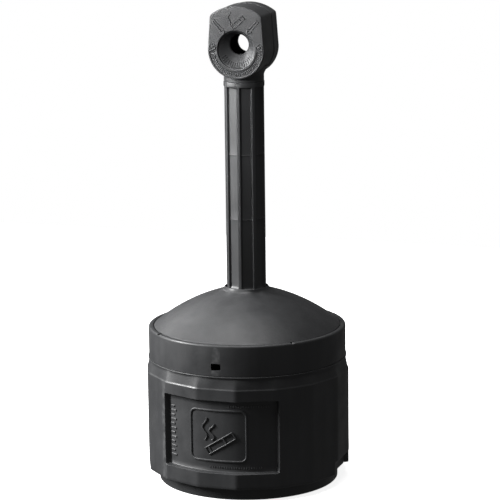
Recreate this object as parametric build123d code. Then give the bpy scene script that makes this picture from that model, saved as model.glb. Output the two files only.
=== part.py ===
"""Free-standing outdoor cigarette receptacle, in millimetres.

A sixteen-sided moulded base holds a steel pail. A domed cover sits on the base and carries a
fluted neck with a two-shell head, whose front and rear dishes open into the hollow neck.
The origin is at the middle of the foot, +Z is up and the front faces -Y.
"""
from build123d import *
from math import acos, atan, cos, degrees, hypot, radians, sin, sqrt, tan
import os

# ---------------------------------------------------------------- driving dimensions
HEIGHT = 978.0            # floor to the top of the head

BASE_SIDES = 16
BASE_R = 209.0            # to the corners of the faceted wall
BASE_FOOT_Z = 27.0        # underside of the faceted wall
BASE_WALL_H = 206.0       # height of the facets
BASE_WALL = 4.5
PLINTH_IN = 25.0          # the plinth stands this far inside the corners
FLOOR_T = 5.0
FLOOR_RAISE = 3.0         # hollow under the floor, inside the foot ring
FOOT_RING_W = 30.0
LEDGE_H = 25.0            # sloping ledge between the facets and the cover's skirt
LEDGE_IN = 1.0            # the ledge ends this far inside the skirt

SKIRT_IN = 7.0            # the skirt stands this far inside the corners
SKIRT_H = 54.5
SHELL_T = 4.0             # wall of the cover
SPIGOT_CLEAR = 1.0        # between the skirt and the base's spigot
SPIGOT_H = 38.0

PANEL_HALF_ANGLE = 35.7
PANEL_IN = 12.0           # the label field lies this far inside the corners
PANEL_UP = 32.0           # from the foot of the facets up to the field
PANEL_DOWN = 24.0         # from the top of the facets down to the field
PANEL_BACK_ANGLE = 2.0    # the wall behind the field is this much wider on each side

GRIP_W = 100.0            # hand grips in the lower edge, left and right
GRIP_DEPTH = 11.0
GRIP_H = 18.0
GRIP_SLOPE = 10.0

WINDOW_W = 20.0           # locking windows, front and rear
WINDOW_H = 14.0
WINDOW_UP = 19.0          # from the skirt's lower edge to the middle of a window

RIM_IN = 11.5             # the dome's rim stands this far inside the skirt
RIM_UP = 8.5              # and this far above its straight wall
DOME_RISE = 73.0          # from the rim to the crown
DOME_BULGE = 8.95         # how far the dome bows out from a straight cone
DOME_EXTRA_T = 1.2        # added to the dome's wall, which is measured upright
SHOULDER_R = 9.0          # rounding of the shoulder bead
GROOVE_W = 1.8
GROOVE_DEPTH = 4.0
GROOVE_LIP = 1.2          # flat between the groove and the bead's rounding
DRAIN_W = 7.0
DRAIN_DEPTH = 2.5
DRAIN_ANGLES = (45, 135, 225, 315)
CROWN_OUT = 2.5           # the dome ends this far outside the ribs
COLLAR_OUT = 7.5          # the crown's collar stands this far outside the ribs
COLLAR_H = 7.0
COLLAR_FLARE = 3.0
COLLAR_EDGE = 2.0
PAD_DROP = 10.0           # from the crown down to the face that takes the neck's flange
PAD_RIM = 6.5             # from the neck screws out to the edge of pad and flange

NECK_R = 41.5             # over the ribs
NECK_FLUTES = 8
FLUTE_DEPTH = 5.9
FLUTE_FLOOR = 10.2        # half width
FLUTE_MOUTH = 12.2        # half width
NECK_WALL = 3.6           # behind the flutes
NECK_TAIL = 14.0          # tube below the flange
NECK_FLANGE_T = 4.0
NECK_RING_H = 9.0         # plain ring above the flutes
NECK_CLEAR = 0.4
BEAD_UP = 149.0           # lower cross bead, above the crown
BEAD_DOWN = 147.0         # upper cross bead, below the neck's top
BEAD_H = 1.4
BEAD_PROUD = 0.9
NECK_SPIGOT_IN = 5.1      # the spigot for the head stands this far inside the ribs
NECK_SPIGOT_H = 26.0
HEAD_FIT = 0.3            # radial gap of the neck spigot in the head collar

HEAD_DEPTH = 100.0
HEAD_TOP_R = 88.5         # top arc, about the middle of the face
HEAD_LOW_R = 60.5         # lower half round
HEAD_CORNER_IN = 5.0      # the upper corners stand this far inside the lower half round
HEAD_CORNER_R = 5.0
HEAD_WALL = 4.0
HEAD_DRAFT = 1.5          # the faces are this much smaller all round than the seam
SEAM_Y = 14.0             # the shells meet behind the middle
HEAD_STEP = 1.0           # the rear shell stands proud by this much at the seam
FACE_EDGE_R = 1.4         # rounding of the faces' outer edges
COLLAR_SHOWS = 7.0        # the head's own collar, between its half round and the neck
HEAD_COLLAR_IN = 0.9      # that collar stands this far inside the ribs
SOCKET_STOP = 2.0
DISH_R = 38.5
DISH_DEPTH = 22.0
DISH_LIP = 4.0            # straight wall of the mouth
DISH_LEDGE = 1.6          # the funnel starts this far inside the mouth
HOLE_R = 20.0
HOLE_RAISE = 9.0          # the hole sits above the middle of the dish
BAND_GAP = 5.0            # from the mouth out to the sunk band
BAND_EDGE = 5.0           # from the band out to the half round
BAND_DEPTH = 1.0
RIB_COUNT = 15
RIB_SPREAD = 124.0        # degrees
RIB_W = 1.7
RIB_PROUD = 1.5
RIB_ROOT = 2.0            # how deep a rib is let into the slope
RIB_GAP = 2.3             # from the mouth in to the ribs
RIB_L = 9.2

SCREW_R = 2.0
SCREW_CLEAR = 0.15
SCREW_HEAD_R = 3.9
SCREW_HEAD_H = 2.6
SCREW_SINK = 3.0          # head screws' heads lie this far below the rear face
SCREW_SIDE = 0.4
SCREW_BITE = 16.0
DRIVE_L = 4.4             # cross drive
DRIVE_W = 1.0
DRIVE_DEPTH = 1.2
BOSS_R = 5.5
BOSS_IN = 10.5            # upper bosses, inside the upper corners
BOSS_DOWN = 38.5          # upper bosses, below the top arc
BOSS_LOW_IN = 7.9         # lower bosses, inside the half round
BOSS_LOW_ANGLE = 39.0     # lower bosses, degrees below level
NECK_SCREW_OUT = 10.0     # neck screws, outside the ribs
NECK_SCREW_BITE = 6.0

PAIL_ROOM = 32.5          # from the pail's rim out to the base's spigot, for ears and fingers
PAIL_TAPER = 25.0         # the pail's wall comes in by this much
PAIL_H = 245.0
PAIL_T = 1.0
PAIL_ROLL_R = 3.2
PAIL_FLOOR_UP = 6.0
PAIL_FLOOR_DROP = 3.0     # lip of the pressed bottom
PAIL_FLOOR_W = 2.0        # width of that lip's seam
PAIL_BEAD_DOWN = 60.0     # stiffening bead below the rim
PAIL_BEAD_HALF = 4.0
PAIL_BEAD_OUT = 2.0
BAIL_OUT = 13.0           # the handle's loop is this much wider than the pail's rim
BAIL_WIRE_R = 2.5
BAIL_DROP = 26.0          # pivot below the rim
BAIL_GAP = 1.2            # from the hanging loop to the pail's wall
BAIL_END = 0.2            # from the pail's wall to the end of the wire
EAR_W = 28.0
EAR_H = 34.0
EAR_T = 2.0
EAR_CORNER_R = 8.0
EYELET_R = 6.0
EYELET_L = 5.0
PIN_CLEAR = 0.3           # play of the wire in its eyelet
RIVET_R = 2.2
RIVET_HEAD_R = 4.4
RIVET_HEAD_T = 1.6
RIVET_IN = 6.0            # from an ear's end to its rivet
LOCATOR_T = 4.0
LOCATOR_H = 7.0
LOCATOR_CLEAR = 2.0
PRESS_GAP = 0.05          # round a pressed-in bottom
FACE_GAP = 0.3            # between a flat ear or a rivet's head and the curved wall

RUN_OUT = 1.0             # how far a cutter, or a joining shape, runs past its place
NEAR = 0.01               # two places nearer than this are the same

# ---------------------------------------------------------------- derived places
HEAD_Z = HEIGHT - HEAD_TOP_R
NECK_TOP_Z = HEAD_Z - HEAD_LOW_R - COLLAR_SHOWS
HEAD_CORNER_X = HEAD_LOW_R - HEAD_CORNER_IN
HEAD_COLLAR_R = NECK_R - HEAD_COLLAR_IN

HALF_STEP = 180 / BASE_SIDES
BASE_TOP_Z = BASE_FOOT_Z + BASE_WALL_H
LEDGE_TOP_Z = BASE_TOP_Z + LEDGE_H
FLAT_R = BASE_R * cos(radians(HALF_STEP))
INNER_R = BASE_R - BASE_WALL / cos(radians(HALF_STEP))
PLINTH_R = BASE_R - PLINTH_IN
FLOOR_Z = FLOOR_RAISE + FLOOR_T
PANEL_R = BASE_R - PANEL_IN
PANEL_LOW_Z = BASE_FOOT_Z + PANEL_UP
PANEL_HIGH_Z = BASE_TOP_Z - PANEL_DOWN

SKIRT_R = BASE_R - SKIRT_IN
SKIRT_TOP_Z = LEDGE_TOP_Z + SKIRT_H
SKIRT_IN_R = SKIRT_R - SHELL_T
SPIGOT_OUT_R = SKIRT_IN_R - SPIGOT_CLEAR
SPIGOT_IN_R = SPIGOT_OUT_R - BASE_WALL
WINDOW_Z = LEDGE_TOP_Z + WINDOW_UP
DOME_RIM_R = SKIRT_R - RIM_IN
DOME_RIM_Z = SKIRT_TOP_Z + RIM_UP
DOME_DROP = SHELL_T + DOME_EXTRA_T
CROWN_R = NECK_R + CROWN_OUT
CROWN_Z = DOME_RIM_Z + DOME_RISE
COLLAR_R = NECK_R + COLLAR_OUT
COLLAR_TOP_Z = CROWN_Z + COLLAR_H
PAD_Z = CROWN_Z - PAD_DROP
NECK_SCREW_R = NECK_R + NECK_SCREW_OUT
PAD_R = NECK_SCREW_R + PAD_RIM

FLUTE_R = NECK_R - FLUTE_DEPTH
NECK_BORE_R = FLUTE_R - NECK_WALL
NECK_SPIGOT_R = NECK_R - NECK_SPIGOT_IN
NECK_SPIGOT_TOP_Z = NECK_TOP_Z + NECK_SPIGOT_H
FLUTE_TOP_Z = NECK_TOP_Z - NECK_RING_H
BEAD_ZS = (CROWN_Z + BEAD_UP, NECK_TOP_Z - BEAD_DOWN)

FUNNEL_R = DISH_R - DISH_LEDGE
BAND_IN_R = DISH_R + BAND_GAP
BAND_OUT_R = HEAD_LOW_R - BAND_EDGE
RIB_OUT_R = DISH_R - RIB_GAP
RIB_IN_R = RIB_OUT_R - RIB_L
BOSS_X = HEAD_CORNER_X - BOSS_IN
BOSS_Z = HEAD_TOP_R - BOSS_DOWN
BOSS_LOW_X = (HEAD_LOW_R - BOSS_LOW_IN) * cos(radians(BOSS_LOW_ANGLE))
BOSS_LOW_Z = -(HEAD_LOW_R - BOSS_LOW_IN) * sin(radians(BOSS_LOW_ANGLE))
BOSS_PLACES = ((-BOSS_X, BOSS_Z), (BOSS_X, BOSS_Z), (-BOSS_LOW_X, BOSS_LOW_Z), (BOSS_LOW_X, BOSS_LOW_Z))

PAIL_TOP_R = SPIGOT_IN_R - PAIL_ROOM
PAIL_LOW_R = PAIL_TOP_R - PAIL_TAPER
PAIL_Z = FLOOR_Z
PIVOT_Z = PAIL_Z + PAIL_H - BAIL_DROP
PAIL_SLOPE = atan(PAIL_TAPER / PAIL_H)
BAIL_R = PAIL_TOP_R + BAIL_OUT
HOLE_SIDE_R = RIVET_R + SCREW_CLEAR


def at_angle(shape, degrees_round):
    """Turns a shape that was made at the front, round the vertical axis."""
    return Rot(0, 0, degrees_round) * shape


def ring(outer, inner, z_low, z_high):
    """A plain ring about the vertical axis."""
    height = z_high - z_low
    middle = Pos(0, 0, (z_low + z_high) / 2)
    return middle * (Cylinder(outer, height) - Cylinder(inner, height + 2 * RUN_OUT))


def disc(radius, z_low, z_high):
    """A plain disc about the vertical axis."""
    return Pos(0, 0, (z_low + z_high) / 2) * Cylinder(radius, z_high - z_low)


def facets(corner_r, z_low, z_high):
    """A many-sided prism with one facet facing the front."""
    outline = Rot(0, 0, HALF_STEP) * RegularPolygon(corner_r, BASE_SIDES)
    return Pos(0, 0, z_low) * extrude(outline, z_high - z_low)


def ledge(corner_r, z_low, top_r, z_high):
    """The transition from the facets to a circle, one ruled face for each facet."""
    step = 2 * HALF_STEP
    places = range(BASE_SIDES)
    corners = [Vector(corner_r, 0).rotate(Axis.Z, (k + 0.5) * step) for k in places]
    tops = [Vector(top_r, 0).rotate(Axis.Z, (k + 0.5) * step) for k in places]
    mids = [Vector(top_r, 0).rotate(Axis.Z, (k + 1) * step) for k in places]
    low = [Line(corners[k - 1], corners[k]) for k in places]
    high = [ThreePointArc(tops[k - 1], mids[k - 1], tops[k]) for k in places]
    low_face = Pos(0, 0, z_low) * make_face(Curve() + low)
    high_face = Pos(0, 0, z_high) * make_face(Curve() + high)
    return loft([low_face.face(), high_face.face()], ruled=True)


def sector(r_in, r_out, half_angle, z_low, z_high):
    """A sector of a ring, centred on the front."""
    far = r_out / cos(radians(half_angle / 2)) ** 2
    spokes = [radians(half_angle * share) for share in (-1, -0.5, 0, 0.5, 1)]
    fan = [(far * sin(turn), -far * cos(turn)) for turn in spokes]
    wedge = make_face(Polyline((0, 0), *fan, (0, 0)))
    block = Pos(0, 0, z_low) * extrude(wedge, z_high - z_low)
    return block & ring(r_out, r_in, z_low, z_high)


def window_cut():
    """The locking windows through the skirt and the spigot, front and rear."""
    cutter = Box(WINDOW_W, 2 * (SKIRT_R - SPIGOT_IN_R + RUN_OUT), WINDOW_H)
    return Pos(0, -SKIRT_R, WINDOW_Z) * cutter + Pos(0, SKIRT_R, WINDOW_Z) * cutter


def grip_cut():
    """One hand grip at the lower edge, on the +X side."""
    x_in = FLAT_R - GRIP_DEPTH
    far = BASE_R + RUN_OUT
    low = BASE_FOOT_Z - RUN_OUT
    roof = BASE_FOOT_Z + GRIP_H
    rise = GRIP_SLOPE * (far - x_in) / GRIP_DEPTH
    side = Polyline((x_in, 0, low), (x_in, 0, roof), (far, 0, roof + rise), (far, 0, low), (x_in, 0, low))
    return extrude(make_face(side), GRIP_W / 2, dir=(0, 1, 0), both=True)


def base_hollow():
    """The inside of the faceted wall, with the wall's thickness kept behind the field and the grips."""
    hollow = facets(INNER_R, BASE_FOOT_Z + BASE_WALL, BASE_TOP_Z - BASE_WALL)
    hollow -= sector(PANEL_R - BASE_WALL, BASE_R + RUN_OUT, PANEL_HALF_ANGLE + PANEL_BACK_ANGLE,
                     PANEL_LOW_Z - BASE_WALL, PANEL_HIGH_Z + BASE_WALL)
    grip_in = FLAT_R - GRIP_DEPTH
    grip_half = degrees(atan((GRIP_W / 2 + BASE_WALL) / grip_in))
    grip_top = BASE_FOOT_Z + GRIP_H + GRIP_SLOPE + BASE_WALL
    grip_back = sector(grip_in - BASE_WALL, BASE_R + RUN_OUT, grip_half, BASE_FOOT_Z, grip_top)
    return hollow - at_angle(grip_back, 90) - at_angle(grip_back, -90)


def make_base():
    """The lower moulding: plinth, faceted wall, ledge and the spigot that enters the cover."""
    spigot_top = LEDGE_TOP_Z + SPIGOT_H
    under_ledge = LEDGE_TOP_Z - BASE_WALL
    outer = disc(PLINTH_R, 0, BASE_FOOT_Z + RUN_OUT) + facets(BASE_R, BASE_FOOT_Z, BASE_TOP_Z)
    outer += ledge(BASE_R, BASE_TOP_Z, SKIRT_R - LEDGE_IN, LEDGE_TOP_Z)
    outer += disc(SPIGOT_OUT_R, LEDGE_TOP_Z - RUN_OUT, spigot_top)
    cavity = disc(PLINTH_R - BASE_WALL, FLOOR_Z, BASE_FOOT_Z + BASE_WALL + RUN_OUT) + base_hollow()
    cavity += ledge(INNER_R, BASE_TOP_Z - BASE_WALL, SPIGOT_IN_R, under_ledge)
    cavity += disc(SPIGOT_IN_R, under_ledge - RUN_OUT, spigot_top + RUN_OUT)
    body = outer - cavity
    body -= sector(PANEL_R, BASE_R + RUN_OUT, PANEL_HALF_ANGLE, PANEL_LOW_Z, PANEL_HIGH_Z)
    body -= disc(PLINTH_R - FOOT_RING_W, -RUN_OUT, FLOOR_RAISE)
    body -= grip_cut() + at_angle(grip_cut(), 180)
    body -= window_cut()
    locator_in = PAIL_LOW_R + LOCATOR_CLEAR
    body += ring(locator_in + LOCATOR_T, locator_in, FLOOR_Z - RUN_OUT, FLOOR_Z + LOCATOR_H)
    return body


def flute_tools(gap, z_low, z_high):
    """Eight prisms that cut the flutes; a gap makes them narrower, for a socket's fingers."""
    span = 2 * FLUTE_DEPTH
    spread = (FLUTE_MOUTH - FLUTE_FLOOR) / FLUTE_DEPTH
    floor = FLUTE_FLOOR - gap
    near = FLUTE_R + gap
    far = near + span
    wide = floor + spread * span
    section = Polyline((-floor, -near), (floor, -near), (wide, -far), (-wide, -far), (-floor, -near))
    tool = Pos(0, 0, z_low) * extrude(make_face(section), z_high - z_low)
    step = 360 / NECK_FLUTES
    return [at_angle(tool, (k + 0.5) * step) for k in range(NECK_FLUTES)]


def neck_profile(gap, z_low, z_high):
    """The fluted outside of the neck, or with a gap the hole that it passes."""
    return disc(NECK_R + gap, z_low, z_high) - flute_tools(gap, z_low - RUN_OUT, z_high + RUN_OUT)


def at_neck_screws(shape):
    """Four copies of a shape, each placed on the axis of a neck screw."""
    return [at_angle(Pos(0, -NECK_SCREW_R, 0) * shape, 45 + 90 * k) for k in range(4)]


def make_neck():
    """The fluted tube, with a flange under the crown and a spigot for the head."""
    flange_low = PAD_Z - NECK_FLANGE_T
    tail_z = flange_low - NECK_TAIL
    tube = neck_profile(0, PAD_Z - RUN_OUT, FLUTE_TOP_Z) + disc(NECK_R, FLUTE_TOP_Z, NECK_TOP_Z)
    tube += disc(FLUTE_R, tail_z, PAD_Z) + disc(PAD_R, flange_low, PAD_Z)
    tube += disc(NECK_SPIGOT_R, NECK_TOP_Z - RUN_OUT, NECK_SPIGOT_TOP_Z)
    for z in BEAD_ZS:
        tube += disc(FLUTE_R + BEAD_PROUD, z - BEAD_H / 2, z + BEAD_H / 2)
    tube -= disc(NECK_BORE_R, tail_z - RUN_OUT, NECK_SPIGOT_TOP_Z + RUN_OUT)
    return tube - at_neck_screws(disc(SCREW_R + SCREW_CLEAR, flange_low - RUN_OUT, PAD_Z + RUN_OUT))


def bowed(start, end):
    """An arc in the XZ plane that bows out by the dome's bulge."""
    (x_a, z_a), (x_b, z_b) = start, end
    length = hypot(x_b - x_a, z_b - z_a)
    across = abs(z_b - z_a) / length * DOME_BULGE
    up = abs(x_b - x_a) / length * DOME_BULGE
    middle = ((x_a + x_b) / 2 + across, 0, (z_a + z_b) / 2 + up)
    return ThreePointArc((x_a, 0, z_a), middle, (x_b, 0, z_b))


def cover_outside():
    """The outer half section of the cover, from the skirt's inner edge to the axis."""
    groove_x = DOME_RIM_R + GROOVE_W
    groove_z = DOME_RIM_Z - GROOVE_DEPTH
    shoulder_x = groove_x + GROOVE_LIP
    shoulder_z = SKIRT_TOP_Z + SHOULDER_R
    half_turn = cos(radians(45))
    bend = (shoulder_x + half_turn * (SKIRT_R - shoulder_x), 0, SKIRT_TOP_Z + half_turn * SHOULDER_R)
    steps = [(SKIRT_IN_R, 0, LEDGE_TOP_Z), (SKIRT_R, 0, LEDGE_TOP_Z), (SKIRT_R, 0, SKIRT_TOP_Z)]
    groove = [(shoulder_x, 0, shoulder_z), (groove_x, 0, shoulder_z), (groove_x, 0, groove_z)]
    groove += [(DOME_RIM_R, 0, groove_z), (DOME_RIM_R, 0, DOME_RIM_Z)]
    return [
        Polyline(*steps),
        ThreePointArc(steps[-1], bend, groove[0]),
        Polyline(*groove),
        bowed((DOME_RIM_R, DOME_RIM_Z), (CROWN_R, CROWN_Z)),
        Line((CROWN_R, 0, CROWN_Z), (0, 0, CROWN_Z)),
    ]


def cover_inside():
    """The inner half section of the cover, from the axis to the skirt's inner edge."""
    rim = (DOME_RIM_R - DOME_DROP, DOME_RIM_Z - DOME_DROP)
    crown_z = CROWN_Z - DOME_DROP
    corner = (SKIRT_IN_R, 0, SKIRT_TOP_Z - SHELL_T)
    return [
        Polyline((0, 0, CROWN_Z), (0, 0, crown_z), (CROWN_R, 0, crown_z)),
        bowed(rim, (CROWN_R, crown_z)),
        Polyline((rim[0], 0, rim[1]), corner, (SKIRT_IN_R, 0, LEDGE_TOP_Z)),
    ]


def crown_collar():
    """The collar round the neck and the thick pad below it, before the neck's hole."""
    low = CROWN_Z - DOME_DROP
    flare_r = COLLAR_R + COLLAR_FLARE
    outline = [(0, 0, low), (flare_r, 0, low), (flare_r, 0, CROWN_Z - COLLAR_FLARE)]
    outline += [(COLLAR_R - COLLAR_FLARE, 0, COLLAR_TOP_Z - COLLAR_EDGE)]
    outline += [(COLLAR_R - COLLAR_FLARE - COLLAR_EDGE, 0, COLLAR_TOP_Z), (0, 0, COLLAR_TOP_Z)]
    collar = revolve(make_face(Polyline(*outline, outline[0])), Axis.Z, 360)
    return collar + disc(PAD_R, PAD_Z, low + RUN_OUT)


def make_cover():
    """Dome, shoulder bead and skirt in one shell, with a socket for the neck."""
    shell = revolve(make_face(Curve() + cover_outside() + cover_inside()), Axis.Z, 360)
    shell += crown_collar()
    shell -= neck_profile(NECK_CLEAR, PAD_Z - RUN_OUT, COLLAR_TOP_Z + RUN_OUT)
    shell -= window_cut()
    drain = Box(DRAIN_W, 2 * RIM_IN, 2 * DRAIN_DEPTH)
    for angle in DRAIN_ANGLES:
        shell -= at_angle(Pos(0, -SKIRT_R, SKIRT_TOP_Z + SHOULDER_R) * drain, angle)
    hole = disc(SCREW_R + SCREW_CLEAR, PAD_Z - RUN_OUT, PAD_Z + NECK_SCREW_BITE + SCREW_CLEAR)
    return shell - at_neck_screws(hole)


def head_outline(inset, y):
    """The outline of the head at a depth, as a face with round upper corners."""
    low = HEAD_LOW_R - inset
    top = HEAD_TOP_R - inset
    corner_x = HEAD_CORNER_X - inset
    corner_z = sqrt(top ** 2 - corner_x ** 2)
    edges = [
        ThreePointArc((-low, 0, 0), (0, 0, -low), (low, 0, 0)),
        Line((low, 0, 0), (corner_x, 0, corner_z)),
        ThreePointArc((corner_x, 0, corner_z), (0, 0, top), (-corner_x, 0, corner_z)),
        Line((-corner_x, 0, corner_z), (-low, 0, 0)),
    ]
    face = make_face(Curve() + edges).face()
    corners = face.vertices().sort_by(Axis.Z)[-2:]
    return Pos(0, y, HEAD_Z) * face.fillet_2d(HEAD_CORNER_R, corners)


def head_block(inset, side):
    """One shell of the head as a solid, from the seam to its face; the front one is less proud."""
    step = HEAD_STEP if side < 0 else 0
    seam = head_outline(inset + step, SEAM_Y)
    face = head_outline(inset + HEAD_DRAFT, side * (HEAD_DEPTH / 2 - inset))
    return loft([seam, face])


def dish_plane(side, depth, raise_by):
    """A plane across the head, facing outwards, at a depth below the face."""
    centre = (0, side * (HEAD_DEPTH / 2 - depth), HEAD_Z + raise_by)
    return Plane(origin=centre, z_dir=(0, side, 0), x_dir=(1, 0, 0))


def dish_cone(side, grow, deeper):
    """The eccentric funnel of a dish, from its lip to the hole, grown by a wall thickness."""
    mouth = dish_plane(side, DISH_LIP, 0) * Circle(FUNNEL_R + grow)
    hole = dish_plane(side, DISH_DEPTH + deeper, HOLE_RAISE) * Circle(HOLE_R + grow)
    return loft([mouth, hole])


def dish_wall(side):
    """The solid that a dish is sunk into, one wall thicker than the dish all round."""
    behind = dish_plane(side, DISH_LIP + 2 * HEAD_WALL, 0)
    rim = behind * Circle(FUNNEL_R + HEAD_WALL)
    return dish_cone(side, HEAD_WALL, HEAD_WALL) + extrude(rim, 2 * HEAD_WALL + 2 * DISH_LIP)


def snuffing_ribs(side):
    """Short radial ribs on the lower slope of the dish, where a cigarette is stubbed out."""
    ribs = []
    for k in range(RIB_COUNT):
        turn = (k / (RIB_COUNT - 1) - 0.5) * RIB_SPREAD
        across = HOLE_RAISE * sin(radians(turn))
        reach = sqrt(HOLE_R ** 2 - across ** 2) - HOLE_RAISE * cos(radians(turn))
        slope = (DISH_DEPTH - DISH_LIP) / (FUNNEL_R - reach)
        y_out = HEAD_DEPTH / 2 - DISH_LIP - slope * (FUNNEL_R - RIB_OUT_R)
        y_in = HEAD_DEPTH / 2 - DISH_LIP - slope * (FUNNEL_R - RIB_IN_R)
        outline = [
            (0, -y_out - RIB_PROUD, -RIB_OUT_R),
            (0, -y_in, -RIB_IN_R),
            (0, -y_in + RIB_ROOT, -RIB_IN_R),
            (0, -y_out + RIB_ROOT, -RIB_OUT_R),
        ]
        blade = extrude(make_face(Polyline(*outline, outline[0])), RIB_W / 2, dir=(1, 0, 0), both=True)
        ribs.append(Pos(0, 0, HEAD_Z) * Rot(0, -turn, 0) * blade)
    return ribs if side < 0 else [at_angle(rib, 180) for rib in ribs]


def y_cylinder(radius, x, z, y_low, y_high):
    """A cylinder along Y, at a place given from the middle of the head's face."""
    return Pos(x, (y_low + y_high) / 2, HEAD_Z + z) * Rot(90, 0, 0) * Cylinder(radius, y_high - y_low)


def sunk_band(side):
    """The shallow band round the lower half of the dish."""
    depth = 2 * BAND_DEPTH
    band = Cylinder(BAND_OUT_R, depth) - Cylinder(BAND_IN_R, depth + 2 * RUN_OUT)
    lower_half = Box(4 * HEAD_LOW_R, 2 * depth, 2 * HEAD_LOW_R)
    return dish_plane(side, 0, 0) * band & Pos(0, side * HEAD_DEPTH / 2, HEAD_Z - HEAD_LOW_R) * lower_half


def shell_space(side):
    """The space on one side of the seam."""
    depth = abs(side * HEAD_DEPTH - SEAM_Y)
    return Pos(0, (SEAM_Y + side * HEAD_DEPTH) / 2, HEAD_Z) * Box(4 * HEAD_TOP_R, depth, 4 * HEAD_TOP_R)


def make_head_shell(side):
    """One moulded shell of the head: face, dish, hole, screw bosses and its part of the collar."""
    y_face = side * HEAD_DEPTH / 2
    in_r = NECK_SPIGOT_R + HEAD_FIT
    space = shell_space(side)
    block = head_block(0, side)
    edge = block.edges().filter_by(lambda e: abs(e.center().Y - y_face) < NEAR)
    body = fillet(edge, FACE_EDGE_R)
    body += disc(HEAD_COLLAR_R, NECK_TOP_Z, HEAD_Z) & space
    hollow = head_block(HEAD_WALL, side) - dish_wall(side)
    for x, z in BOSS_PLACES:
        hollow -= y_cylinder(BOSS_R, x, z, min(SEAM_Y, y_face), max(SEAM_Y, y_face))
    body -= hollow
    body -= disc(in_r, NECK_TOP_Z - RUN_OUT, NECK_SPIGOT_TOP_Z + RUN_OUT) & space
    way_down = disc(in_r - SOCKET_STOP, NECK_TOP_Z, HEAD_Z - HEAD_LOW_R / 2) & space
    body -= way_down - dish_wall(side)
    body -= dish_cone(side, 0, 0)
    body -= dish_plane(side, 0, 0) * Cylinder(DISH_R, 2 * DISH_LIP)
    body -= y_cylinder(HOLE_R, 0, HOLE_RAISE, -HEAD_DEPTH, HEAD_DEPTH) & space
    body -= sunk_band(side)
    return body + snuffing_ribs(side)


def cross_drive(length, width, depth):
    """The recess of a cross drive, about the origin and along Z."""
    return Box(length, width, 2 * depth) + Box(width, length, 2 * depth)


def make_head():
    """Front and rear shells with their screw holes, and the four screws that join them."""
    front = make_head_shell(-1)
    rear = make_head_shell(1)
    y_out = HEAD_DEPTH / 2 + RUN_OUT
    seat = HEAD_DEPTH / 2 - SCREW_SINK
    under_head = seat - SCREW_HEAD_H
    reach = SEAM_Y - SCREW_BITE
    hole_r = SCREW_R + SCREW_CLEAR
    drive = Rot(90, 0, 0) * cross_drive(DRIVE_L, DRIVE_W, DRIVE_DEPTH)
    screws = []
    for x, z in BOSS_PLACES:
        front -= y_cylinder(hole_r, x, z, reach - SCREW_CLEAR, SEAM_Y + RUN_OUT)
        rear -= y_cylinder(hole_r, x, z, SEAM_Y - RUN_OUT, y_out)
        rear -= y_cylinder(SCREW_HEAD_R + SCREW_SIDE, x, z, under_head, y_out)
        screw = y_cylinder(SCREW_R, x, z, reach, under_head + RUN_OUT)
        screw += y_cylinder(SCREW_HEAD_R, x, z, under_head, seat)
        screws.append(screw - Pos(x, seat, HEAD_Z + z) * drive)
    return front, rear, Compound(children=screws)


def make_neck_screws():
    """Four screws that go up through the neck flange into the crown pad."""
    seat = PAD_Z - NECK_FLANGE_T
    low = seat - SCREW_HEAD_H
    screw = disc(SCREW_R, seat - RUN_OUT, PAD_Z + NECK_SCREW_BITE) + disc(SCREW_HEAD_R, low, seat)
    screw -= Pos(0, 0, low) * cross_drive(DRIVE_L, DRIVE_W, DRIVE_DEPTH)
    return Compound(children=at_neck_screws(screw))


def pail_r(z):
    """Outer radius of the pail wall at a height above the floor."""
    return PAIL_LOW_R + (z - PAIL_Z) * tan(PAIL_SLOPE)


def on_wall(shape, side):
    """Places a shape, made about the origin with +X outwards, on the pail wall at the bail pivot."""
    placed = Pos(pail_r(PIVOT_Z), 0, PIVOT_Z) * Rot(0, degrees(PAIL_SLOPE), 0) * shape
    return placed if side > 0 else at_angle(placed, 180)


def x_cylinder(radius, x_low, x_high):
    """A cylinder along X through the origin."""
    return Pos((x_low + x_high) / 2, 0, 0) * Rot(0, 90, 0) * Cylinder(radius, x_high - x_low)


def bail_hole():
    """The straight bore through both ears and the pail wall, with play for the bail."""
    return Pos(0, 0, PIVOT_Z) * x_cylinder(BAIL_WIRE_R + PIN_CLEAR, -2 * PAIL_TOP_R, 2 * PAIL_TOP_R)


def rivet_offsets():
    """Places of the two rivets of an ear, above and below the eyelet."""
    return [-EAR_H / 2 + RIVET_IN, EAR_H / 2 - RIVET_IN]


def pail_wall_section():
    """The closed half section of the wall, with its stiffening bead."""
    top_z = PAIL_Z + PAIL_H
    bead_z = top_z - PAIL_BEAD_DOWN
    levels = (PAIL_Z, bead_z - PAIL_BEAD_HALF, bead_z, bead_z + PAIL_BEAD_HALF, top_z)
    edge = [(pail_r(z) + (PAIL_BEAD_OUT if z == bead_z else 0), 0, z) for z in levels]
    back = [(x - PAIL_T, 0, z) for x, _, z in reversed(edge)]
    return Polyline(*edge, *back, edge[0])


def make_pail_bottom():
    """The pressed bottom, with a lip that turns down and out to the wall."""
    high = PAIL_Z + PAIL_FLOOR_UP
    low = high - PAIL_FLOOR_DROP
    wall_r = pail_r(low) - PAIL_T - PRESS_GAP
    step_r = wall_r - PAIL_FLOOR_W
    bottom = disc(step_r, high, high + PAIL_T)
    bottom += ring(step_r, step_r - PAIL_T, low, high + PAIL_T)
    return bottom + ring(wall_r, step_r - PAIL_T, low, low + PAIL_T)


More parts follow.
